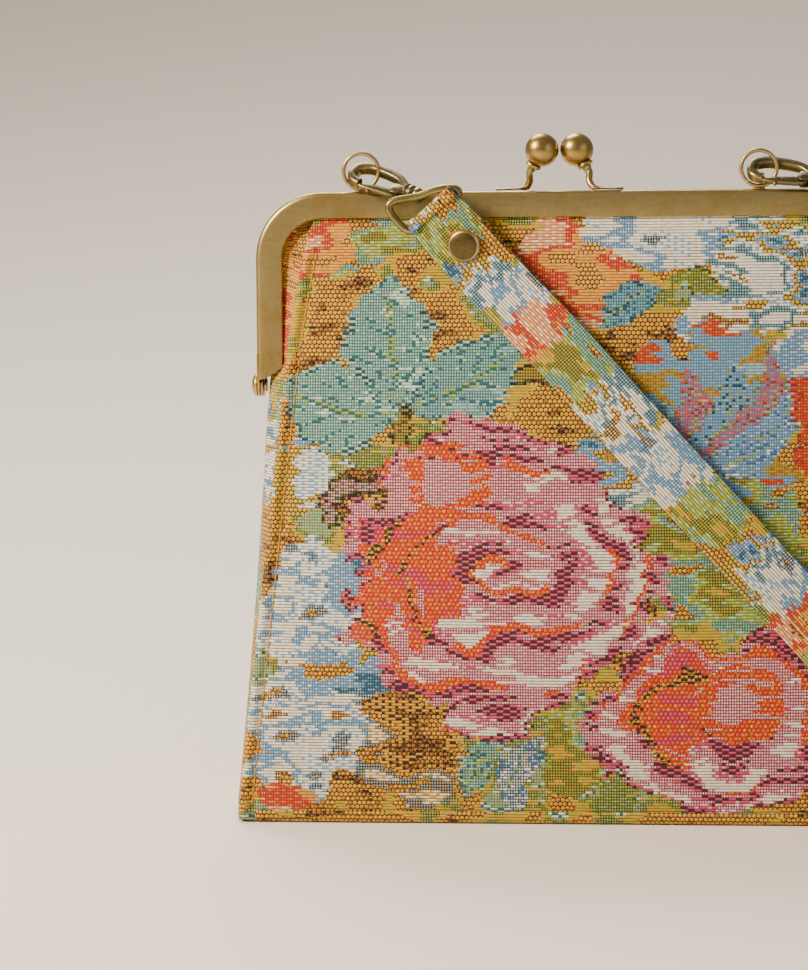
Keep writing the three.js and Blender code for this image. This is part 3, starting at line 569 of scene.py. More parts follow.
class Plan:
    """The woven picture: each crossing's face thread, ground colour, float length and knot kind."""

    def __init__(self, x, z, seed):
        self.column = np.floor(x / WARP)
        self.row = np.floor(z / WEFT)
        wobble = 1.5
        ragged = (hashed(self.row * 0, self.row, seed + 13) - 0.5) * 2.6
        self.x = x + wobble * (cloud(x, z, 7, seed + 11) - 0.5) * 2 + ragged
        self.z = z + wobble * (cloud(x, z, 7, seed + 12) - 0.5) * 2
        self.seed = seed
        count = len(x)
        self.thread = np.zeros((count, 3))
        self.ground = np.zeros((count, 3))
        self.length = np.zeros(count)
        self.kind = np.zeros(count)
        checker = (self.column + 2 * self.row) % 4
        self.dither = (checker + hashed(self.column, self.row, seed + 1)) / 4
        self.grain = hashed(self.column, self.row, seed + 2)

    def lay(self, mask, first, second="", share=0.0, ground="brown", weave=DOTS):
        """Weaves masked places in one thread, or in two mixed by share."""
        mask = mask if mask.dtype == bool else mask > 0.5
        colour = np.broadcast_to(THREADS[first], self.thread.shape).copy()
        if second:
            pick = self.dither < share
            colour[pick] = THREADS[second]
        self.thread[mask] = colour[mask]
        self.ground[mask] = THREADS[ground]
        self.length[mask] = 1.0 if weave == FLOATS else 0.0
        self.kind[mask] = 1.0 if weave == BERRIES else 0.0

    def petal(self, base, tip, width, bend=0.0, blunt=1.0):
        """Distance in from a leaf or petal's edge (0 outside to 1), its along 0..1 and its across -1..1."""
        bx, bz = base
        tx, tz = tip
        length = math.hypot(tx - bx, tz - bz)
        ux, uz = (tx - bx) / length, (tz - bz) / length
        dx, dz = self.x - bx, self.z - bz
        along = (dx * ux + dz * uz) / length
        across = -dx * uz + dz * ux
        across = across - bend * length * along * (1 - along) * 4
        inside = (along > 0) & (along < 1)
        safe = np.clip(along, 0, 1)
        half = width / 2 * np.sin(np.pi * safe ** blunt) ** 0.72 + 1e-6
        side = across / half
        depth = np.where(inside, 1 - np.abs(side), -1)
        return depth, along, side

    def leaf(self, base, tip, width, bend, face, second, vein, edge="deep_teal", ground="teal"):
        """A leaf of dotted weave with streaks of darker floats along its veins."""
        depth, along, side = self.petal(base, tip, width, bend)
        ripple = 0.22 * (cloud(self.x, self.z, 4, self.seed + 21) - 0.5)
        inside = depth + ripple > 0
        streak = cloud(self.x * 0.3, self.z, 1.7, self.seed + 22)
        self.lay(inside, face, second, 0.2, ground)
        self.lay(inside & (streak > 0.7) & (side < 0.2), second, face, 0.3, ground, FLOATS)
        veins = np.abs(((along * 5 - np.abs(side) * 1.8) % 1) - 0.5) < 0.15
        veins = (depth > 0.08) & veins & (streak > 0.42) & (np.abs(side) > 0.15)
        self.lay(veins, vein, face, 0.3, ground, FLOATS)
        midrib = (depth > 0.05) & (np.abs(side) < 0.07) & (along < 0.85)
        self.lay(midrib, vein, "lime", 0.5, ground, FLOATS)
        rim = inside & (depth < 0.16) & (streak > 0.36)
        self.lay(rim, edge, face, 0.5, ground, FLOATS)

    def rose(self, centre, wide, tall, heart, turns=3.2, lit=(1, -1), ring=None):
        """An open rose: whorled dotted petals with pale floats, orange knots at its heart and lips."""
        cx, cz = centre
        dx = (self.x - cx) / (wide / 2)
        dz = (self.z - cz) / (tall / 2)
        warp = cloud(self.x, self.z, 14, self.seed + 31) - 0.5
        angle = np.arctan2(dz, dx) + warp * 1.3
        reach = np.hypot(dx, dz) * (1 + 0.3 * (cloud(self.x, self.z, 17, self.seed + 32) - 0.5))
        scallop = 1 + 0.08 * np.cos(angle * 5 + 0.8) + 0.06 * np.cos(angle * 9)
        inside = reach < scallop
        whorl = reach * turns - angle / (2 * np.pi) + warp * 1.0
        layer = np.floor(whorl)
        place = whorl - layer
        hx, hz, heart_size = heart
        near = np.hypot(self.x - hx, (self.z - hz) * 1.1) / heart_size
        near += 1.1 * (cloud(self.x, self.z, 9, self.seed + 33) - 0.5)
        light = (dx * lit[0] + dz * lit[1]) * 0.5
        streak = cloud(self.x * 0.16, self.z, 1.5, self.seed + 34)
        broad = cloud(self.x, self.z, 12, self.seed + 35)
        self.lay(inside, "pink", "white", 0.35, "crimson")
        self.lay(inside & (streak > 0.68), "rose", "pink", 0.3, "plum", FLOATS)
        self.lay(inside & (place < 0.3) & (streak > 0.4), "plum", "rose", 0.5, "black", FLOATS)
        self.lay(inside & (near < 1), "orange", "gold", 0.22, "rust", BERRIES)
        self.lay(inside & (near < 1) & (streak > 0.62), "rose", "orange", 0.4, "crimson", BERRIES)
        self.lay(inside & (near < 1) & (place > 0.55) & (broad > 0.5), "pink", "white", 0.5, "crimson")
        self.lay(inside & (near < 1) & (place < 0.16), "gold", "brown", 0.5, "brown", BERRIES)
        ribbon_edge = inside & (place > 0.84) & (broad - light * 0.3 > 0.4)
        self.lay(ribbon_edge, "orange", "gold", 0.22, "rust", BERRIES)
        lip = inside & (place > 0.5) & (place < 0.86) & (light * 0.7 + streak * 1.1 > 0.68) & (near > 0.9)
        self.lay(lip, "white", "cream", 0.15, "plum", FLOATS)
        if ring:
            far = np.hypot(self.x - ring[0], self.z - ring[1]) + 4 * (broad - 0.5)
            self.lay(far < ring[2], "pink", "white", 0.5, "crimson")
            arch = (far > ring[2] * 0.6) & (far < ring[2] * 1.12) & (streak > 0.24)
            self.lay(arch, "orange", "gold", 0.2, "rust", BERRIES)
        rim = (reach > scallop - 0.05) & inside & (streak > 0.45)
        self.lay(rim, "rose", "plum", 0.4, "black", FLOATS)

    def mottled(self, centre, wide, tall, colours, seed):
        """A loose bloom made of streaks and patches of a few colours."""
        cx, cz = centre
        reach = np.hypot((self.x - cx) / (wide / 2), (self.z - cz) / (tall / 2))
        reach += 0.6 * (cloud(self.x, self.z, 8, self.seed + 55 + seed) - 0.5)
        inside = reach < 1
        patch = cloud(self.x * 0.7, self.z, 7.0, self.seed + 56 + seed)
        streak = cloud(self.x * 0.16, self.z, 2.2, self.seed + 57 + seed)
        value = np.clip(patch * 0.85 + streak * 0.4 - 0.12, 0, 0.999)
        steps = len(colours)
        for index, (face, second, ground, weave) in enumerate(colours):
            band = inside & (value * steps >= index) & (value * steps < index + 1)
            self.lay(band, face, second, 0.3, ground, weave)

    def blossom(self, centre, size, petals, face, second, edge, heart, ground, turn=0.0, weave=FLOATS):
        """A small open flower of separate petals."""
        cx, cz = centre
        dx, dz = self.x - cx, self.z - cz
        warp = cloud(self.x, self.z, 8, self.seed + 41) - 0.5
        angle = np.arctan2(dz, dx) + turn + warp * 0.5
        reach = np.hypot(dx, dz) / size
        lobe = np.abs(np.cos(angle * petals / 2))
        limit = 0.55 + 0.45 * lobe ** 0.6
        inside = reach < limit
        grain = cloud(self.x * 0.4, self.z, 2.2, self.seed + 42)
        self.lay(inside, face, second, 0.3, ground, weave)
        self.lay(inside & (grain > 0.6), second, face, 0.35, ground)
        self.lay(inside & (lobe < 0.34) & (reach > 0.2), edge, second, 0.3, ground, FLOATS)
        self.lay(inside & (reach > limit - 0.14) & (grain < 0.55), edge, second, 0.4, ground, FLOATS)
        self.lay(reach < 0.22, heart, "brown", 0.3, "brown", BERRIES)

    def plumes(self, centre, wide, tall, slant, face, second, dark, amount):
        """A feathery patch of long strokes, as loose petals laid over each other."""
        cx, cz = centre
        dx, dz = self.x - cx, self.z - cz
        reach = np.hypot(dx / (wide / 2), dz / (tall / 2))
        reach += 0.55 * (cloud(self.x, self.z, 9, self.seed + 51) - 0.5)
        turned_x = dx * math.cos(slant) + dz * math.sin(slant)
        turned_z = -dx * math.sin(slant) + dz * math.cos(slant)
        stroke = cloud(turned_x * 0.28, turned_z, 2.5, self.seed + 52)
        inside = (reach < 1) & (stroke > 1 - amount - 0.15)
        self.lay(inside, face, second, 0.25, "brown", FLOATS)
        self.lay((reach < 1) & (stroke > 0.36) & (stroke < 0.44), dark, second, 0.35, "brown", FLOATS)
        self.lay((reach < 0.95) & (stroke > 0.72), second, face, 0.45, "brown", DOTS)

    def stem(self, points, width, face="lime", second="gold"):
        """A stem through a few places."""
        route = catmull([(x, 0, z) for x, z in points], 24)
        near = np.full(len(self.x), 1e9)
        for a, b in zip(route, route[1:]):
            ax, az, bx, bz = a.x, a.z, b.x, b.z
            length = max((bx - ax) ** 2 + (bz - az) ** 2, 1e-9)
            t = np.clip(((self.x - ax) * (bx - ax) + (self.z - az) * (bz - az)) / length, 0, 1)
            near = np.minimum(near, np.hypot(self.x - ax - t * (bx - ax), self.z - az - t * (bz - az)))
        self.lay(near < width / 2, face, second, 0.3, "moss")
        self.lay((near > width / 2 - 0.5) & (near < width / 2 + 0.7), "brown", "olive", 0.5, "black")

    def meadow(self, lime=0.5):
        """The ground: drifts of gold knots, gold and lime floats and pale green dotted weave."""
        everywhere = np.ones(len(self.x), bool)
        self.lay(everywhere, "gold", "ochre", 0.14, "brown", BERRIES)
        drift = cloud(self.x, self.z, 19, self.seed + 61) * 0.6
        drift += cloud(self.x, self.z, 7, self.seed + 62) * 0.4
        streak = cloud(self.x * 0.2, self.z, 1.6, self.seed + 63)
        other = cloud(self.x, self.z, 11, self.seed + 64)
        self.lay(drift > lime - 0.03, "gold", "lime", 0.3, "olive", FLOATS)
        self.lay(drift > lime + 0.03, "lime", "mint", 0.3, "moss")
        self.lay((drift > lime + 0.03) & (streak > 0.6), "gold", "lime", 0.5, "moss", FLOATS)
        self.lay((drift > lime + 0.1) & (other > 0.55), "mint", "sky", 0.25, "olive")
        flecks = (drift > lime + 0.1) & (other > 0.5) & (streak > 0.66)
        self.lay(flecks, "pale_mint", "teal", 0.4, "moss", FLOATS)
        self.lay((drift < lime - 0.14) & (streak < 0.3), "ochre", "brown", 0.35, "black", BERRIES)

    def attributes(self):
        """The two colour attributes: thread with float length, ground with knot kind."""
        vary = 1 + 0.26 * (self.grain - 0.5)
        thread = np.column_stack([self.thread * vary[:, None], self.length])
        ground = np.column_stack([self.ground, self.kind])
        return np.clip(thread, 0, 1), ground


# Blooms are lists of (face, second, ground, weave), from a patch's darker streaks to its lighter ones
GOLD_KNOTS = ("gold", "ochre", "brown", BERRIES)
CREAM_FLOATS = ("white", "cream", "brown", FLOATS)
SNOW_FLOATS = ("white", "sky", "blue", FLOATS)
SKY_DOTS = ("sky", "white", "blue", DOTS)
PALE_BLOOM = (
    GOLD_KNOTS, ("sky", "cream", "brown", DOTS), SNOW_FLOATS, CREAM_FLOATS, SKY_DOTS, CREAM_FLOATS,
    ("gold", "cream", "brown", DOTS),
)
WARM_BLOOM = (
    ("gold", "peach", "brown", BERRIES), ("gold", "peach", "rust", FLOATS),
    ("orange", "peach", "rust", DOTS), ("peach", "cream", "crimson", FLOATS), GOLD_KNOTS,
)
BLUE_BLOOM = (
    ("blue", "sky", "deep_teal", DOTS), SKY_DOTS, ("gold", "lime", "brown", BERRIES), SNOW_FLOATS,
    ("sky", "mint", "deep_teal", DOTS), ("white", "cream", "blue", FLOATS),
    ("gold", "cream", "brown", BERRIES),
)
EARTH_BLOOM = (
    GOLD_KNOTS, ("ochre", "brown", "black", BERRIES), ("gold", "brown", "black", FLOATS), GOLD_KNOTS,
    ("sky", "gold", "brown", DOTS), ("cream", "gold", "brown", FLOATS),
)
LIME_BLOOM = (
    ("gold", "lime", "olive", FLOATS), ("lime", "gold", "moss", DOTS), ("lime", "mint", "moss", FLOATS),
    ("mint", "lime", "teal", DOTS), GOLD_KNOTS,
)
STRIPED_BLOOM = (
    ("orange", "gold", "rust", DOTS), ("sky", "mint", "blue", DOTS), ("gold", "orange", "olive", DOTS),
    ("sky", "mint", "blue", FLOATS),
)


def front_design(x, z):
    """The bouquet on the front of the purse."""
    plan = Plan(x, z, 3)
    plan.meadow(0.5)
    # drifts behind the flowers
    plan.mottled((50, 88), 64, 50, LIME_BLOOM, 1)
    plan.mottled((-66, 190), 44, 22, LIME_BLOOM, 2)
    plan.mottled((20, 116), 30, 34, BLUE_BLOOM, 3)
    plan.mottled((-84, 112), 26, 24, BLUE_BLOOM[1:4], 4)
    plan.stem([(-50, 134), (-30, 142), (-8, 146), (14, 140)], 5.0, "gold", "lime")
    plan.stem([(-50, 134), (-48, 122), (-30, 120)], 4.0, "gold", "lime")
    # mint leaves
    plan.leaf((-50, 134), (-90, 142), 30, 0.10, "mint", "pale_mint", "teal")
    plan.leaf((-48, 136), (-13, 158), 26, -0.10, "mint", "sky", "teal")
    plan.leaf((-51, 136), (-54, 177), 31, 0.06, "mint", "pale_mint", "teal")
    # top edge
    plan.mottled((-78, 186), 22, 18, WARM_BLOOM, 5)
    plan.mottled((2, 178), 44, 36, WARM_BLOOM, 6)
    plan.leaf((14, 162), (34, 172), 13, 0.1, "sky", "teal", "deep_teal")
    plan.mottled((36, 190), 52, 22, PALE_BLOOM[1:6], 7)
    plan.mottled((66, 180), 40, 38, BLUE_BLOOM, 8)
    plan.leaf((36, 176), (56, 168), 10, 0.1, "lime", "mint", "olive", "moss", "moss")
    plan.mottled((52, 162), 24, 15, PALE_BLOOM[3:], 9)
    # striped bloom on the right
    plan.mottled((52, 132), 60, 50, STRIPED_BLOOM, 10)
    stripes = (
        (-1.15, "sky", "mint", "blue"), (-0.75, "orange", "peach", "rust"),
        (-0.35, "sky", "mint", "deep_teal"), (0.1, "orange", "gold", "rust"), (0.5, "sky", "white", "blue"),
    )
    for turn, face, second, dark in stripes:
        tip = (42 + 40 * math.sin(turn + 0.7), 112 + 44 * math.cos(turn * 0.8))
        plan.leaf((34, 112), tip, 13, -0.22, face, second, dark, "olive", "blue")
    plan.leaf((78, 112), (74, 158), 22, -0.25, "orange", "gold", "rust", "crimson", "rust")
    plan.mottled((82, 154), 20, 26, PALE_BLOOM[3:], 11)
    # pale flowers down the left side
    plan.mottled((-80, 70), 40, 42, PALE_BLOOM, 12)
    plan.mottled((-80, 34), 48, 46, PALE_BLOOM, 13)
    plan.mottled((-68, 78), 14, 24, BLUE_BLOOM[:2], 14)
    plan.mottled((-70, 50), 26, 12, (*BLUE_BLOOM[:2], EARTH_BLOOM[0]), 15)
    plan.mottled((-56, 56), 22, 36, BLUE_BLOOM[:4], 16)
    plan.mottled((-48, 26), 30, 40, EARTH_BLOOM, 17)
    # sprig beside the big rose
    plan.mottled((-60, 104), 30, 24, EARTH_BLOOM[:3], 18)
    plan.stem([(-40, 124), (-46, 110), (-58, 110), (-72, 108), (-74, 98)], 4.5, "pink", "rose")
    # foot of the cloth
    plan.mottled((-88, 8), 22, 9, WARM_BLOOM[1:4], 19)
    plan.leaf((-30, 8), (-18, 30), 11, 0.1, "mint", "lime", "teal")
    plan.leaf((-14, 2), (-6, 30), 12, 0.15, "white", "sky", "blue", "blue", "deep_teal")
    plan.mottled((6, 24), 22, 34, LIME_BLOOM, 20)
    plan.mottled((22, 62), 18, 34, EARTH_BLOOM, 21)
    # roses
    plan.rose((-19, 84), 102, 90, (-48, 82, 22), 3.1, (1.0, -0.35), (-37, 110, 12))
    plan.rose((52, 33), 82, 62, (38, 38, 17), 2.5, (0.1, -1.0), (58, 40, 12))
    return plan.attributes()


def back_design(x, z):
    """The same cloth cut from further along the bolt."""
    plan = Plan(x, z, 17)
    plan.meadow(0.5)
    plan.plumes((-60, 170), 70, 40, 0.3, "white", "sky", "blue", 0.6)
    plan.plumes((60, 110), 60, 60, -0.6, "sky", "mint", "teal", 0.5)
    plan.leaf((20, 150), (64, 168), 28, 0.1, "mint", "pale_mint", "teal")
    plan.leaf((20, 150), (36, 192), 28, -0.1, "mint", "sky", "teal")
    plan.leaf((20, 150), (-18, 172), 24, 0.1, "mint", "pale_mint", "teal")
    plan.blossom((-74, 150), 20, 6, "white", "cream", "sky", "gold", "olive")
    plan.blossom((80, 60), 20, 6, "white", "sky", "blue", "gold", "olive")
    plan.blossom((-84, 20), 16, 5, "peach", "orange", "rust", "cream", "crimson", 0.2, DOTS)
    plan.blossom((74, 150), 14, 5, "orange", "peach", "rust", "gold", "crimson", 0.9, DOTS)
    plan.stem([(20, 150), (6, 134), (-20, 128), (-60, 120)], 4.0)
    plan.rose((16, 86), 104, 92, (0, 94, 30), 3.2)
    plan.rose((-58, 62), 66, 58, (-64, 68, 18), 2.7)
    plan.plumes((30, 16), 60, 24, 0.4, "white", "cream", "olive", 0.6)
    return plan.attributes()


def gusset_design(x, z):
    """Mostly ground, with a few leaves and loose petals."""
    plan = Plan(x, z, 29)
    plan.meadow(0.54)
    plan.mottled((0, 118), 40, 34, BLUE_BLOOM, 1)
    plan.mottled((2, 170), 44, 50, WARM_BLOOM, 2)
    plan.leaf((-12, 70), (12, 104), 22, 0.1, "mint", "pale_mint", "teal")
    plan.mottled((8, 44), 36, 34, WARM_BLOOM, 3)
    plan.mottled((14, 16), 30, 26, PALE_BLOOM, 4)
    return plan.attributes()


def along_design(far, side):
    """The strap's cloth with its threads running along the strap."""
    plan = Plan(far, side, 43)
    plan.meadow(0.46)
    blooms = (
        (6, 3, 24, 30, LIME_BLOOM), (28, -4, 20, 24, BLUE_BLOOM), (40, 4, 18, 24, PALE_BLOOM),
        (53, -2, 17, 26, WARM_BLOOM), (70, 1, 28, 30, LIME_BLOOM), (90, -3, 24, 30, BLUE_BLOOM),
        (100, -6, 22, 10, PALE_BLOOM[3:]), (114, 3, 24, 30, PALE_BLOOM),
    )
    for start in range(0, 640, 128):
        for index, (along, across, wide, tall, colours) in enumerate(blooms):
            plan.mottled((start + along, across), wide, tall, colours, start + index)
    return plan.attributes()


def plain_design(x, z):
    """The ground of the cloth alone, for narrow edges."""
    plan = Plan(x, z, 71)
    plan.meadow(0.6)
    return plan.attributes()


def tapestry(name):
    """Woven cloth: rounded threads or knots with dark gaps between them, from the plan's attributes."""
    r = Recipe(name)
    thread = r.add("ShaderNodeAttribute", {"attribute_name": "thread"})
    ground = r.add("ShaderNodeAttribute", {"attribute_name": "ground"})
    place = r.add("ShaderNodeUVMap", {"uv_map": "weave"}).outputs[0]
    split = r.add("ShaderNodeSeparateXYZ", None, {0: place})
    u, v = split.outputs[0], split.outputs[1]
    u_cell = r.math("SUBTRACT", r.math("FRACT", r.math("MULTIPLY", u, 1.28)), 0.5)
    v_cell = r.math("SUBTRACT", r.math("FRACT", v), 0.5)
    length = thread.outputs["Alpha"]
    kind = ground.outputs["Alpha"]
    across = r.math("MULTIPLY", u_cell, r.blend(length, 2.15, 0.3))
    up = r.math("MULTIPLY", v_cell, 2.2)
    round_thread = r.math("ADD", r.math("MULTIPLY", across, across), r.math("MULTIPLY", up, up))
    knot_v = r.math("MULTIPLY", v, 0.7)
    odd = r.math("MULTIPLY", r.math("MODULO", r.math("FLOOR", knot_v), 2.0), 0.5)
    knot_u = r.math("ADD", r.math("MULTIPLY", u, 0.74), odd)
    ku = r.math("MULTIPLY", r.math("SUBTRACT", r.math("FRACT", knot_u), 0.5), 2.0)
    kv = r.math("MULTIPLY", r.math("SUBTRACT", r.math("FRACT", knot_v), 0.5), 2.0)
    round_knot = r.math("ADD", r.math("MULTIPLY", ku, ku), r.math("MULTIPLY", kv, kv))
    far = r.blend(kind, round_thread, round_knot)
    height = r.math("SQRT", r.math("SUBTRACT", 1.0, r.math("MINIMUM", far, 1.0)))
    dots = r.math("MULTIPLY", r.math("SUBTRACT", 1.0, length), r.math("SUBTRACT", 1.0, kind))
    floor_level = r.math("ADD", r.math("MULTIPLY", dots, 0.20), 0.22)
    cover = r.ramp(height, floor_level, r.math("ADD", floor_level, 0.38))
    fibre = r.noise(5200, 2)
    shade = r.mix(r.math("MULTIPLY", fibre, 0.35), thread.outputs["Color"], (0.02, 0.015, 0.01, 1))
    colour = r.mix(cover, ground.outputs["Color"], shade)
    relief = r.math("ADD", height, r.math("MULTIPLY", fibre, 0.16))
    normal = r.bump(relief, 0.95, 0.00045)
    r.set(Base_Color=colour, Roughness=0.78, Normal=normal)
    r.set(Sheen_Weight=0.12, Sheen_Roughness=0.5, Specular_IOR_Level=0.3)
    return r.material


TAPESTRY = tapestry("tapestry")
GUSSET_TAPESTRY = tapestry("gusset_tapestry")
STRAP_TAPESTRY = tapestry("strap_tapestry")


def cotton(name, colour, dark, pitch=2600.0):
    """Plain-woven cotton with slightly uneven threads."""
    r = Recipe(name)
    place = r.add("ShaderNodeTexCoord").outputs["Object"]
    split = r.add("ShaderNodeSeparateXYZ", None, {0: place})
    warp = r.math("SINE", r.math("MULTIPLY", split.outputs[0], pitch * 2))
    weft = r.math("SINE", r.math("MULTIPLY", split.outputs[2], pitch * 2))
    weave = r.math("MULTIPLY", warp, weft)
    cloudy = r.noise(160, 3)
    raised = r.math("MULTIPLY", r.math("ADD", weave, 1.0), 0.18)
    shade = r.math("ADD", raised, r.math("MULTIPLY", cloudy, 0.5))
    colour = r.mix(shade, colour, dark)
    normal = r.bump(weave, 0.3, 0.00015)
    return r.set(Base_Color=colour, Roughness=0.85, Normal=normal, Sheen_Weight=0.1)


LINING = cotton("lining_cotton", rgb("#dccbaa"), rgb("#b39d78"))
EDGE_THREAD = cotton("edge_thread", rgb("#cf9722"), rgb("#8f6414"), 5200.0)


def woven(name, half_wide, low, high, outline, design, place, outward, look,
          body="purse", nodes=(), thick=CLOTH):
    """Cuts cloth from a flat plan and puts it in place; look is a slot name, not used, and its material."""
    columns = 2 * math.ceil(half_wide / WARP)
    rows = round((high - low) / WEFT)
    bm = bmesh.new()
    bmesh.ops.create_grid(bm, x_segments=columns, y_segments=rows, size=0.5)
    flat = np.array([v.co[:2] for v in bm.verts])
    x = flat[:, 0] * columns * WARP
    z = low + (flat[:, 1] + 0.5) * (high - low)
    x, z = outline(x, z)
    for v, a, b in zip(bm.verts, x, z):
        v.co = (a, b, 0)
    bmesh.ops.remove_doubles(bm, verts=bm.verts[:], dist=0.05)
    mesh = bpy.data.meshes.new(name)
    bm.to_mesh(mesh)
    bm.free()
    count = len(mesh.vertices)
    flat = np.empty(count * 3)
    mesh.vertices.foreach_get("co", flat)
    flat = flat.reshape(-1, 3)
    corners = np.empty(len(mesh.loops), np.int32)
    mesh.loops.foreach_get("vertex_index", corners)
    weave = mesh.uv_layers.new(name="weave")
    scaled = np.column_stack([flat[:, 0] / WARP, (flat[:, 1] - low) / ((high - low) / rows)])
    weave.data.foreach_set("uv", scaled[corners].astype(np.float32).ravel())
    if design:
        centres = np.empty(len(mesh.polygons) * 3)
        mesh.polygons.foreach_get("center", centres)
        centres = centres.reshape(-1, 3)
        thread, ground = design(centres[:, 0], centres[:, 1])
        for label, values in (("thread", thread), ("ground", ground)):
            attribute = mesh.attributes.new(label, "FLOAT_COLOR", "FACE")
            attribute.data.foreach_set("color", values.astype(np.float32).ravel())
    placed = np.column_stack(place(flat[:, 0], flat[:, 1])) * MM
    mesh.vertices.foreach_set("co", placed.ravel())
    mesh.update()
    normals = np.empty(len(mesh.polygons) * 3)
    mesh.polygons.foreach_get("normal", normals)
    if float(normals.reshape(-1, 3).mean(0) @ np.array(outward)) < 0:
        mesh.flip_normals()
    made = finished(name, mesh, body, look[1], nodes, 0)
    thicken = made.modifiers.new("thickness", "SOLIDIFY")
    thicken.thickness = thick * MM
    thicken.offset = -1
    return made


# ---------------------------------------------------------------- strap
# Places along the strap with the way its width lies: flat across the front, then turned edge-on to hang
# past the foot, loop on the table and climb to the right ring
DIAGONAL = (0.741, 0.0, 0.672)
ACROSS = (0.0, 1.0, 0.0)
DOWN_THE_FRONT = (
    (-40.6, -15.6, 198.5), (-36.0, -16.2, 193.5), (-29.3, -17.2, 186.1), (-17.6, -19.6, 173.3),
    (0, -24.1, 155.4), (27, -29.3, 125.7), (54, -31.0, 96.1), (81, -30.6, 66.4),
)
TURNING = (
    ((101, -30, 44.4), (0.72, 0.25, 0.65)), ((119, -29.5, 25), (0.5, 0.75, 0.43)),
    ((136, -28.5, 10), (0.15, 0.98, 0.13)),
)
LOOP_AND_CLIMB = (
    (152, -27, 3.6), (168, -24.5, 2.4), (179.6, -22, 5.6), (183.6, -20, 13), (179, -18, 20.6),
    (163, -15.5, 26), (144, -13.5, 31), (127, -11.5, 43), (116, -10, 66), (111, -9, 98), (109, -8.5, 130),
    (108.2, -8.3, 158), (108.4, -8.3, 180), (107.6, -8.3, 194), (104.6, -8.3, 203.2), (101.6, -8.3, 206.9),
)
STRAP_RUN = [(place, DIAGONAL) for place in DOWN_THE_FRONT]
STRAP_RUN += TURNING
STRAP_RUN += [(place, ACROSS) for place in LOOP_AND_CLIMB]
STRAP_HALF = 10.3
RIBBON_STEPS = 400


def ribbon(points):
    """Samples along a run, in millimetres: places, width directions, faces' directions and distances."""
    places = catmull([p for p, _ in points], RIBBON_STEPS)
    sides = catmull([s for _, s in points], RIBBON_STEPS)
    places = np.array([tuple(p) for p in places])
    sides = np.array([tuple(s) for s in sides])
    distance = np.concatenate([[0], np.cumsum(np.linalg.norm(np.diff(places, axis=0), axis=1))])
    ahead = np.gradient(places, axis=0)
    ahead /= np.linalg.norm(ahead, axis=1)[:, None]
    sides -= ahead * (sides * ahead).sum(1)[:, None]
    sides /= np.linalg.norm(sides, axis=1)[:, None]
    return places, sides, np.cross(ahead, sides), distance


def ribbon_place(points, half_length, narrow):
    """Lays flat cloth along a run, a little crowned, with a sewn groove and rolled edge down each side."""
    places, sides, tops, distance = ribbon(points)

    def place(x, z):
        far = x + half_length
        out = []
        wide = z * narrow(far)
        edge = STRAP_HALF - np.abs(z)
        raised = 0.35 * (1 - (z / STRAP_HALF) ** 2) - 0.4 * np.exp(-((edge - 2.4) / 0.7) ** 2)
        raised = raised - 0.5 * np.clip(1 - edge / 0.9, 0, 1) ** 2 + 0.3 * (cloud(x, z, 9, 91) - 0.5)
        for k in range(3):
            centre = np.interp(far, distance, places[:, k])
            side = np.interp(far, distance, sides[:, k])
            top = np.interp(far, distance, tops[:, k])
            out.append(centre + side * wide + top * raised)
        return out
    return place


def straight_edges(half):
    """An outline that only cuts the cloth off at both ends."""
    return lambda x, z: (np.clip(x, -half, half), z)


STRAP_LOOK = ("strap_tapestry", STRAP_TAPESTRY)
strap_places, _, strap_tops, strap_distance = ribbon(STRAP_RUN)
STRAP_LENGTH = float(strap_distance[-1])
STRAP_MIDDLE = STRAP_LENGTH / 2


def strap_taper(far):
    """The strap is drawn in where it passes through each eye."""
    near = np.clip(1 - far / 14, 0, 1)
    last = np.clip(1 - (STRAP_LENGTH - far) / 14, 0, 1)
    return 1 - 0.10 * near ** 2 - 0.22 * last ** 2


strap = woven("strap_band", STRAP_MIDDLE, -STRAP_HALF, STRAP_HALF, straight_edges(STRAP_MIDDLE),
              lambda x, z: along_design(x + STRAP_MIDDLE, z),
              ribbon_place(STRAP_RUN, STRAP_MIDDLE, strap_taper),
              tuple(strap_tops[10]), STRAP_LOOK, nodes=["strap"], thick=1.5)


def fold(name, node, places, way, half=STRAP_HALF, narrow=0.92):
    """The end of the strap, turned round the eye's bar and laid back under itself."""
    points = [(place, way) for place in places]
    _, _, tops, distance = ribbon(points)
    middle = float(distance[-1]) / 2
    return woven(name, middle, -half, half, straight_edges(middle), lambda x, z: along_design(x + 40, z),
                 ribbon_place(points, middle, lambda far: narrow),
                 tuple(tops[int(len(tops) * 0.8)]), STRAP_LOOK, nodes=[node], thick=1.1)


left_end = fold("left_turned_end", "left_strap_end", (
    (-39.8, -15.7, 197.6), (-41.0, -15.4, 199.0), (-41.9, -14.2, 199.9), (-41.6, -12.6, 199.6),
    (-39.6, -12.3, 197.4), (-35.4, -13.2, 192.8), (-28.4, -14.8, 185.2), (-20.0, -17.2, 175.8),
), DIAGONAL)
right_end = fold("right_turned_end", "right_strap_end", (
    (101.4, -8.3, 206.6), (99.2, -8.3, 208.6), (96.6, -8.3, 208.4), (96.2, -8.3, 205.6),
    (99.0, -8.3, 204.6), (102.4, -8.3, 201.4), (105.2, -8.3, 194.0), (106.2, -8.3, 180.0),
), ACROSS, 7.6, 1.0)


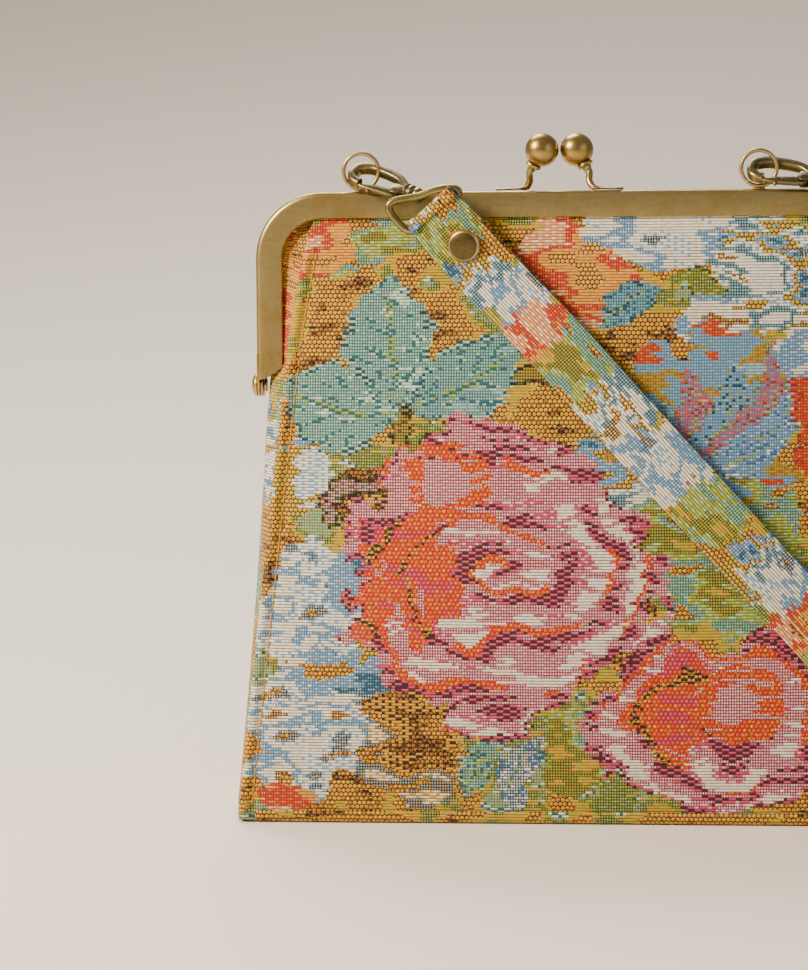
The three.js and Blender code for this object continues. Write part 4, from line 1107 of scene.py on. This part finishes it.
def strap_rivet(name, node, place, way):
    """A two-part rapid rivet with a shallow domed cap and a bright worn rim."""
    bm = bmesh.new()
    cap = [(0, 1.9), (1.6, 1.86), (3.2, 1.7), (4.5, 1.36), (5.1, 0.98), (5.35, 0.5), (5.3, 0.1)]
    post = [(4.9, -0.1), (1.2, -0.1), (1.2, -4.2)]
    back = [(4.2, -4.2), (4.4, -4.5), (4.0, -5.1), (2.4, -5.4), (0, -5.5)]
    start = Vector(place) * MM
    turned(bm, in_metres(cap + post + back), start, way, 56)
    made = piece(name, bm, "purse", CAP_BRASS, [node], 40)
    made.data.materials.append(RIM_BRASS)
    way = Vector(way).normalized()
    for polygon in made.data.polygons:
        away = polygon.center - start
        out = (away - way * away.dot(way)).length
        if out > 4.75 * MM and away.dot(way) > -0.2 * MM:
            polygon.material_index = 1
    return made


left_cap = strap_rivet("left_rivet", "left_strap_rivet", (-30.3, -17.9, 187.4), (-0.12, -0.98, -0.13))
right_cap = strap_rivet("right_rivet", "right_strap_rivet", (108.7, -8.3, 188.0), (1, 0, 0.03))


# ---------------------------------------------------------------- strap hooks
HOOK_UP = Vector((0, 0.77, 0.64))
LEFT_NOSE = Vector((-66.3, -1.6, 211)) * MM
LEFT_SWIVEL = Vector((-43.3, -12.4, 202.8)) * MM
RIGHT_NOSE = Vector((63.7, -1.6, 211.3)) * MM
RIGHT_SWIVEL = Vector((88.6, -6.5, 207.9)) * MM


def hook_axes(nose, swivel):
    """A hook's own frame: X from its nose to its swivel, Y away from its gate."""
    along = (swivel - nose).normalized()
    across = (HOOK_UP - along * HOOK_UP.dot(along)).normalized()
    matrix = Matrix((along, across, along.cross(across))).transposed().to_4x4()
    matrix.translation = nose
    return matrix


def hook(label, nose, swivel):
    """A small trigger hook: cast loop, swivel barrel, sprung gate and its pin."""
    axes = hook_axes(nose, swivel)
    x_way = axes.to_3x3() @ Vector((1, 0, 0))
    normal = axes.to_3x3() @ Vector((0, 0, 1))
    given = [(3.6, -3.9), (1.4, -3.6), (-0.5, -2.2), (-1.0, 0), (-0.3, 2.6), (3, 4.3), (7, 4.5), (11, 4.3),
             (15, 3.4), (18.6, 1.0), (20.4, 0)]
    route = catmull([axes @ Vector((a, b, 0)) for a, b in in_metres(given)], 60)
    bm = bmesh.new()
    scales = [1.0 + 0.12 * math.sin(math.pi * min(1, i / 52)) for i in range(61)]
    sweep(bm, route, rounded_box_section(3.4 * MM, 2.8 * MM, 0.9 * MM), normal, scales=scales)
    barrel = [(0, 0), (1.9, 0.1), (2.3, 0.5), (2.75, 0.9), (2.75, 1.5), (2.45, 1.8)]
    barrel += [(2.45, 2.2), (2.75, 2.5), (2.75, 3.3), (2.4, 3.8), (1.5, 4.0), (0, 4.0)]
    turned(bm, in_metres(barrel), axes @ Vector((18.5 * MM, 0, 0)), x_way, 32)
    for side in (-1, 1):
        cheek = [(15.2, -0.2), (19.2, 0.6), (19.4, -2.6), (18.0, -3.8), (15.8, -4.1), (14.6, -2.6)]
        low = side * 1.6 - 0.3
        place = axes @ Matrix.Translation((0, 0, low * MM))
        plate(bm, in_metres(cheek), 0.6 * MM, place, 0.12 * MM)
    piece(f"{label}_trigger", bm, "purse", DARK_BRASS, [f"{label}_hook_body"], 45)

    bm = bmesh.new()
    tongue = [(3.75, -5.4), (2.9, -4.8), (3.1, -3.9), (4.3, -3.55), (9, -2.7), (14, -1.7), (16.6, -1.3),
              (17.8, -2.0), (17.8, -3.2), (16.6, -4.3), (14, -4.9), (9, -5.3), (5.6, -5.5)]
    place = axes @ Matrix.Translation((0, 0, -0.85 * MM))
    plate(bm, in_metres(tongue), 1.7 * MM, place, 0.3 * MM)
    thumb = in_metres([(7, -4.0), (7.6, -5.4), (8.4, -6.0)])
    thumb = catmull([axes @ Vector((a, b, 0)) for a, b in thumb], 8)
    sweep(bm, thumb, round_section(0.7 * MM, 10), normal, scales=[1, 1, 1, 1.02, 1.05, 1.1, 1.1, 0.9, 0.5])
    piece(f"{label}_tongue", bm, f"{label}_gate", DARK_BRASS, [f"{label}_hook_gate"], 45)

    bm = bmesh.new()
    pin = [(0, -1.9), (0.9, -1.9), (1.1, -1.7), (1.1, -1.45), (0.6, -1.45), (0.6, 1.45), (1.1, 1.45),
           (1.1, 1.7), (0.9, 1.9), (0, 1.9)]
    turned(bm, in_metres(pin), axes @ Vector((16.6 * MM, -2.6 * MM, 0)), normal, 20)
    piece(f"{label}_trigger_pin", bm, "purse", DARK_BRASS, [f"{label}_hook_pin"], 45)
    return axes


def strap_eye(label, axes, points):
    """The hook's eye: a bent wire loop on a round swivel post."""
    x_way = axes.to_3x3() @ Vector((1, 0, 0))
    bm = bmesh.new()
    route = catmull(points, 96, closed=True)
    middle = sum(route, Vector()) / len(route)
    side = (points[0] - middle).cross(points[len(points) // 3] - middle).normalized()
    sweep(bm, route, round_section(1.3 * MM, 14), side, closed=True)
    post = [(0, 0), (1.2, 0), (1.2, 1.5), (2.3, 1.7), (2.6, 2.2)]
    post += [(2.65, 3.0), (2.3, 3.9), (1.4, 4.5), (0, 4.7)]
    turned(bm, in_metres(post), axes @ Vector((21.0 * MM, 0, 0)), x_way, 28)
    piece(f"{label}_eye_loop", bm, "purse", EYE_BRASS, [f"{label}_hook_eye"], 45)


left_axes = hook("left", LEFT_NOSE, LEFT_SWIVEL)
right_axes = hook("right", RIGHT_NOSE, RIGHT_SWIVEL)
LEFT_EYE = [(-44.8, 203.6), (-40.5, 205.2), (-36.0, 206.0), (-33.0, 205.6), (-32.2, 204.2), (-33.8, 202.5),
            (-36, 200.9), (-40, 197.6), (-44.4, 193.8), (-47.0, 192.3), (-49.8, 192.9), (-52.4, 195.4),
            (-54.6, 198.4), (-54.9, 200.6), (-53.2, 202.0), (-49, 202.8)]
strap_eye("left", left_axes, [Vector((a, -13.6, b)) * MM for a, b in LEFT_EYE])
join = Vector((88.0, -6.4, 208.0)) * MM
along_way = right_axes.to_3x3() @ Vector((1, 0, 0))
across_way = right_axes.to_3x3() @ Vector((0, 1, 0))
RIGHT_EYE = [(0, 0), (0, 4), (0, 8), (1.2, 9.5), (5, 9.4), (9, 8.6), (10, 7.4), (10, 0)]
RIGHT_EYE += [(a, -b) for a, b in reversed(RIGHT_EYE[1:-1])]
strap_eye("right", right_axes, [join + along_way * a + across_way * b for a, b in in_metres(RIGHT_EYE)])


# ---------------------------------------------------------------- shape of the cloth body, in millimetres
CUT_FOOT = 0.5
BODY_BOTTOM = 4.4
BODY_TOP = 203.0
SPLIT_Z = 136.0
FOOT_HALF = 104
SEAM_TAPER = 21
SEAM_ALLOWANCE = 0.6
GROOVE = 4.4
MOUTH_DEPTH = 4.35
FOOT_DEPTH = 30.0
BELLY = 9


def share_at(z):
    """How far up the body a height is, 0 to 1."""
    return np.clip((z - BODY_BOTTOM) / (BODY_TOP - BODY_BOTTOM), 0, 1)


def rise_to_rail(z):
    return np.clip(share_at(z) / 0.96, 0, 1)


def seam_width(z):
    """Half the width between the side seams, drawn in sharply at the rail's corners."""
    return FOOT_HALF - SEAM_TAPER * share_at(z) - 6 * share_at(z) ** 12


def seam_depth(z):
    """How far a side seam stands from the middle plane."""
    return MOUTH_DEPTH + (FOOT_DEPTH - MOUTH_DEPTH) * (1 - rise_to_rail(z)) ** 0.62


def panel_depth(x, z):
    """How far a panel stands from the middle plane: full in its middle, held in at its seams."""
    fullness = np.sin(np.pi * rise_to_rail(z)) ** 0.9
    return seam_depth(z) + BELLY * fullness * (1 - (x / seam_width(z)) ** 2)


def gusset_out(z):
    """How far a side's middle fold stands out past the seams."""
    return 3.5 + 3.6 * (share_at(z) / 0.68) ** 2


def seam_relief(x, z, gap):
    """How far a seamed edge stands out: a rounded ridge at the seam and a stitched groove inside it."""
    side = np.maximum(gap, 0)
    ridge = 0.9 * np.exp(-((side - 1.6) / 1.5) ** 2)
    groove = -0.75 * np.exp(-(side - GROOVE) ** 2)
    pucker = 0.5 * np.exp(-side / 9) * (cloud(x, z, 7, 81) - 0.5)
    return ridge + groove + pucker


def panel_outline(x, z):
    width = seam_width(z) + SEAM_ALLOWANCE
    return np.clip(x, -width, width), z


def panel_place(side):
    """The front or back of the bag, with seam ridges that fade out under the frame."""
    def place(x, z):
        level = np.maximum(z, BODY_BOTTOM)
        width = seam_width(level) + SEAM_ALLOWANCE
        inside = np.clip(x, -seam_width(level), seam_width(level))
        depth = panel_depth(inside, level)
        fade = 1 - smooth(level, 178, 192)
        gap = np.minimum(width - np.abs(x), (z - 0.2) * 1.1 + 1.0)
        depth = depth + seam_relief(x, z, gap) * fade
        sag = 0.7 * (cloud(x, z, 46, 82) - 0.5) + 0.25 * (cloud(x, z, 12, 83) - 0.5)
        depth = depth + sag * fade
        over = np.clip((BODY_BOTTOM - z) / 4.2, 0, 1)
        depth = depth - 3.2 * (1 - np.sqrt(1 - 0.98 * over ** 2))
        back_turn = 1.2 * np.clip(1 - (width - np.abs(x)) / 1.4, 0, 1) ** 2
        depth = depth - back_turn * fade
        return x, side * depth, z + 0.3
    return place


PANEL_LOOK = ("tapestry", TAPESTRY)
woven("front_cloth", FOOT_HALF, CUT_FOOT, BODY_TOP, panel_outline, front_design, panel_place(-1),
      (0, -1, 0), PANEL_LOOK, nodes=["front_panel"])
back_cloth = woven("back_cloth", FOOT_HALF, CUT_FOOT, BODY_TOP, panel_outline, back_design, panel_place(1),
                   (0, 1, 0), PANEL_LOOK, body=None, nodes=["back_panel", "back_panel_top"])
BEND_START = (0, 0.02, 0.118)
BEND_END = (0, 0.02, 0.158)
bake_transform(back_cloth, "purse", "back_half", BEND_START, BEND_END)


# ---------------------------------------------------------------- gussets
# Above the hinge each half of a side is gathered into its leg's channel, which turns into the rail
GUSSET_TOP = 199
GUSSET_CUT = 36
CORNER_X = (FRAME_HALF - FRAME_CORNER) / MM
CORNER_Z = (FRAME_TOP - FRAME_CORNER) / MM
LINER_REACH = 12
HELD_REACH = 17.3


def bezier(a, b, c, t):
    return (1 - t) ** 2 * a + 2 * t * (1 - t) * b + t ** 2 * c


def gusset_half(z):
    return np.maximum(seam_depth(z), 17.0) + 0.8


def gusset_outline(x, z):
    return np.clip(x, 0, gusset_half(z)), z


def gusset_place(end, side, inset=0.0):
    """Half a side panel, from its middle fold to the seam, turned into the leg above the hinge."""
    def place(u, z):
        a = np.clip(u / gusset_half(z), 0, 1)
        level = np.minimum(z, 150)
        low_x = seam_width(level) + gusset_out(level) * (1 - a ** 2) - inset
        low_y = a * (seam_depth(level) - 1.2 - inset)
        low_x = low_x + 0.6 * np.exp(-((1 - a) * gusset_half(z) / 1.6) ** 2)
        path = SPLIT_Z + np.clip((z - SPLIT_Z) / (GUSSET_TOP - SPLIT_Z), 0, 1) * 67
        turn = np.maximum(0, path - CORNER_Z) / 20
        leg_z = np.minimum(path, CORNER_Z)
        leg = smooth(path, 140.5, 149)
        t = 1 - a
        hold_x = 93 + (CORNER_X + LINER_REACH * np.cos(turn) - 93) * leg
        hold_y = 8 + (1.1 - 8) * leg
        hold_z = path + (leg_z + LINER_REACH * np.sin(turn) - path) * leg
        held_x = 96 + (CORNER_X + HELD_REACH * np.cos(turn) - 96) * leg
        held_y = 0.7 + (3.4 - 0.7) * leg
        held_z = path + (leg_z + HELD_REACH * np.sin(turn) - path) * leg
        high_x = bezier(seam_width(z), hold_x, held_x, t)
        high_y = bezier(seam_depth(z) - 2.0, hold_y, held_y, t)
        high_z = bezier(z, hold_z, held_z, t)
        share = smooth(z, 131, 148)
        return (
            end * (low_x + (high_x - low_x) * share),
            side * (low_y + (high_y - low_y) * share),
            z + (high_z - z) * share + 0.3,
        )
    return place


GUSSET_LOOK = ("gusset_tapestry", GUSSET_TAPESTRY)
for label, end in (("left", -1), ("right", 1)):
    woven(f"{label}_side_front", GUSSET_CUT, CUT_FOOT, GUSSET_TOP, gusset_outline,
          lambda x, z: gusset_design(-x, z), gusset_place(end, -1), (end, 0, 0), GUSSET_LOOK,
          nodes=[f"{label}_gusset", f"{label}_gusset_front_top"])
    wing = woven(f"{label}_side_back", GUSSET_CUT, CUT_FOOT, GUSSET_TOP, gusset_outline, gusset_design,
                 gusset_place(end, 1), (end, 0, 0), GUSSET_LOOK, body=None,
                 nodes=[f"{label}_gusset_back_top"])
    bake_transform(wing, "purse", "back_half", (0, 0.02, 0.134), (0, 0.02, 0.152))


# ---------------------------------------------------------------- foot of the purse
FLAT_X = 97.4
FLAT_Y = 24.5
FOOT_EDGE = 8.4


def past_flat(x, y):
    """How far a place is past the foot's flat middle: along X, along Y and straight."""
    dx = np.maximum(np.abs(x) - FLAT_X, 0)
    dy = np.maximum(np.abs(y) - FLAT_Y, 0)
    return dx, dy, np.hypot(dx, dy)


def drawn_in(x, y, scale):
    """Moves a place in the foot's edge towards its flat middle."""
    dx, dy, _ = past_flat(x, y)
    px = np.sign(x) * (np.minimum(np.abs(x), FLAT_X) + dx * scale)
    py = np.sign(y) * (np.minimum(np.abs(y), FLAT_Y) + dy * scale)
    return px, py


def foot_outline(x, y):
    _, _, far = past_flat(x, y)
    return drawn_in(x, y, np.where(far > FOOT_EDGE, FOOT_EDGE / np.maximum(far, 1e-6), 1))


def foot_place(x, y):
    """Lies flat, then turns up round the foot's edge into the seam."""
    _, _, far = past_flat(x, y)
    roll = 2.0
    start = 3.3
    turned_up = np.clip(far - start, 0, roll * np.pi / 2)
    outward = np.minimum(far, start) + roll * np.sin(turned_up / roll)
    height = roll * (1 - np.cos(turned_up / roll)) + np.maximum(far - start - roll * np.pi / 2, 0)
    px, py = drawn_in(x, y, outward / np.maximum(far, 1e-6))
    return px, py, height + 0.05 + 0.12 * cloud(x, y, 9, 84)


woven("foot_cloth", 106, -33, 33, foot_outline, plain_design, foot_place, (0, 0, -1), PANEL_LOOK,
      nodes=["base_panel"])


def slab(name, node, half_x, half_y, low, thick, look):
    """A flat board with round corners."""
    corner = 4.0
    bm = bmesh.new()
    outline = []
    for sx, sy, start in ((1, 1, 0), (-1, 1, 90), (-1, -1, 180), (1, -1, 270)):
        for a, b in arc_points(corner, 6, start, start + 90):
            outline.append(((sx * (half_x - corner) + a) * MM, (sy * (half_y - corner) + b) * MM))
    plate(bm, outline, thick * MM, Matrix.Translation((0, 0, low * MM)), 0.1 * MM)
    piece(name, bm, "purse", look[1], [node], 40)


def board_material():
    r = Recipe("base_board")
    fleck = r.noise(1500, 4)
    colour = r.mix(fleck, rgb("#a39a8b"), rgb("#7d7466"))
    return r.set(Base_Color=colour, Roughness=0.9, Normal=r.bump(fleck, 0.2, 0.0002))


slab("stiffening_board", "base_board", 97, 27.5, 4.3, 2, ("base_board", board_material()))
slab("floor_lining", "base_lining", 96.5, 27, 6.6, 0.4, ("lining_cotton", LINING))


# ---------------------------------------------------------------- lining and pocket
LINING_FOOT = 7.1
POCKET_HALF = 45
LINING_LOOK = ("lining_cotton", LINING)


def lining_place(side, inset):
    def place(x, z):
        width = seam_width(z)
        depth = panel_depth(np.clip(x, -width, width), z) - inset - 0.5 * cloud(x, z, 14, 85)
        return x, side * depth, z
    return place


def lining_outline(x, z):
    width = seam_width(z) - 1.5
    return np.clip(x, -width, width), z


woven("front_inside", 103, LINING_FOOT, 200, lining_outline, None, lining_place(-1, 2.1), (0, -1, 0),
      LINING_LOOK, nodes=["front_lining"], thick=0.35)
back_inside = woven("back_inside", 103, LINING_FOOT, 200, lining_outline, None, lining_place(1, 2.1),
                    (0, 1, 0), LINING_LOOK, body=None, nodes=["back_lining", "back_lining_top"], thick=0.35)
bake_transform(back_inside, "purse", "back_half", BEND_START, BEND_END)
for label, end in (("left", -1), ("right", 1)):
    for side, word in ((-1, "front"), (1, "back")):
        nodes = [f"{label}_lining"] if side < 0 else []
        woven(f"{label}_inside_{word}", GUSSET_CUT, LINING_FOOT, 134, gusset_outline, None,
              gusset_place(end, side, 2.2), (end, 0, 0), LINING_LOOK, nodes=nodes, thick=0.35)


def pocket_place(x, z):
    """A patch on the back lining, its mouth standing open a little."""
    mouth = smooth(z, 100, 112) * (1 - (x / POCKET_HALF) ** 2) * 1.6
    depth = panel_depth(x, z) - 3.1 - mouth
    return x, depth, z


woven("pocket_patch", 46, 44, 112, straight_edges(POCKET_HALF), None, pocket_place, (0, 1, 0), LINING_LOOK,
      nodes=["slip_pocket"], thick=0.35)


# ---------------------------------------------------------------- sewing
STITCH = 2.5 * MM
STITCH_GAP = 0.7 * MM
STITCH_RADIUS = 0.32 * MM


def stitch_row(name, route, side, body="purse"):
    """A row of sewn stitches laid end to end with a small gap, each a straight slim ellipsoid on the cloth.
    """
    bm = bmesh.new()
    points = [Vector(p) * MM for p in route]
    distance = [0.0]
    for a, b in zip(points, points[1:]):
        distance.append(distance[-1] + (b - a).length)

    def at(far):
        index = 0
        while index < len(points) - 2 and distance[index + 1] < far:
            index += 1
        t = (far - distance[index]) / max(distance[index + 1] - distance[index], 1e-9)
        return points[index].lerp(points[index + 1], t)

    far = STITCH_GAP
    while far + STITCH < distance[-1]:
        a, b = at(far), at(far + STITCH)
        middle = (a + b) / 2 + Vector((0, side * 0.25 * MM, 0))
        turn = (b - a).to_track_quat("Z", "Y").to_matrix().to_4x4()
        turn.translation = middle
        shape = turn @ Matrix.Diagonal((STITCH_RADIUS, STITCH_RADIUS, STITCH * 0.56, 1))
        bmesh.ops.create_uvsphere(bm, u_segments=8, v_segments=6, radius=1, matrix=shape)
        far += STITCH + STITCH_GAP
    return piece(name, bm, body, EDGE_THREAD, (), 60)


def seam_route(side, end):
    out = []
    place = panel_place(side)
    for z in np.linspace(5, 186, 90):
        x = end * (seam_width(z) + SEAM_ALLOWANCE - GROOVE)
        px, py, pz = place(np.array([x]), np.array([z]))
        out.append((px[0], py[0], pz[0]))
    return out


def foot_route(side):
    place = panel_place(side)
    x = np.linspace(-95, 95, 90)
    px, py, pz = place(x, np.full(90, 3.4))
    return list(zip(px, py, pz))


for label, side in (("front", -1), ("back", 1)):
    for word, end in (("left", -1), ("right", 1)):
        body = "purse" if side < 0 else None
        row = stitch_row(f"{label}_{word}_sewing", seam_route(side, end), side, body)
        if side > 0:
            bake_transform(row, "purse", "back_half", BEND_START, BEND_END)
    stitch_row(f"{label}_foot_sewing", foot_route(side), side)


# ---------------------------------------------------------------- paper cord pressed in the frame
def paper_material():
    r = Recipe("paper_cord")
    fleck = r.noise(1800, 3)
    colour = r.mix(fleck, rgb("#c9b48c"), rgb("#a08a60"))
    return r.set(Base_Color=colour, Roughness=0.9, Normal=r.bump(fleck, 0.3, 0.0002))


PAPER = paper_material()


def frame_cord(label, side, body):
    """The twine that wedges the cloth in one half's channel."""
    inset = 2.4 * MM
    depth = side * 1.75 * MM
    route = [Vector((-FRAME_HALF + inset, depth, z * MM)) for z in (150, 160, 172)]
    for a, b in arc_points(FRAME_CORNER - inset, 12, 180, 90):
        route.append(Vector((-FRAME_HALF + FRAME_CORNER + a, depth, FRAME_TOP - FRAME_CORNER + b)))
    route += [Vector((-p.x, p.y, p.z)) for p in reversed(route)]
    bm = bmesh.new()
    sweep(bm, route, round_section(0.55 * MM, 8), Vector((0, 1, 0)))
    piece(f"{label}_paper_twine", bm, body, PAPER, [f"{label}_frame_cord"], 60)


frame_cord("front", -1, "purse")
frame_cord("back", 1, "back_half")


# ---------------------------------------------------------------- studio
def studio():
    """A pale sweep of paper behind and under the purse, lit by softboxes."""
    bm = bmesh.new()
    profile = [(-3.0, 0.0), (-1.0, 0.0)]
    profile += [(0.4 + a, 2.2 + b) for a, b in arc_points(2.2, 64, 270, 360)]
    profile += [(2.6, 3.4)]
    verts = [bm.verts.new((-4, y, z)) for y, z in profile]
    edges = [bm.edges.new(pair) for pair in zip(verts, verts[1:])]
    made = bmesh.ops.extrude_edge_only(bm, edges=edges)["geom"]
    far_side = [g for g in made if isinstance(g, bmesh.types.BMVert)]
    bmesh.ops.translate(bm, vec=(8, 0, 0), verts=far_side)
    bmesh.ops.recalc_face_normals(bm, faces=bm.faces[:])
    floor_mesh = bpy.data.meshes.new("studio_floor")
    bm.to_mesh(floor_mesh)
    bm.free()
    floor_mesh.shade_smooth()
    floor = bpy.data.objects.new("studio_floor", floor_mesh)
    bpy.context.scene.collection.objects.link(floor)
    r = Recipe("pale_floor")
    floor_mesh.materials.append(r.set(Base_Color=rgb("#ece7de"), Roughness=0.9))
    world = bpy.data.worlds.new("studio_world")
    world.use_nodes = True
    background = world.node_tree.nodes["Background"]
    background.inputs[0].default_value = rgb("#f2efe9")
    background.inputs[1].default_value = 0.36
    bpy.context.scene.world = world
    softboxes = (
        ("key_light", (-0.95, -0.6, 0.85), 0.32, 36, "#ffead0"),
        ("fill_light", (1.2, -1.0, 0.6), 1.0, 3.5, "#f3f5ff"),
        ("rim_light", (-0.3, 0.7, 1.1), 0.6, 16, "#fff6ea"),
    )
    for name, place, size, power, tint in softboxes:
        data = bpy.data.lights.new(name, "AREA")
        data.size = size
        data.energy = power
        data.color = rgb(tint)[:3]
        light = bpy.data.objects.new(name, data)
        light.location = place
        aim = Vector((0, 0, 0.12)) - Vector(place)
        light.rotation_euler = aim.to_track_quat("-Z", "Y").to_euler()
        bpy.context.scene.collection.objects.link(light)


studio()
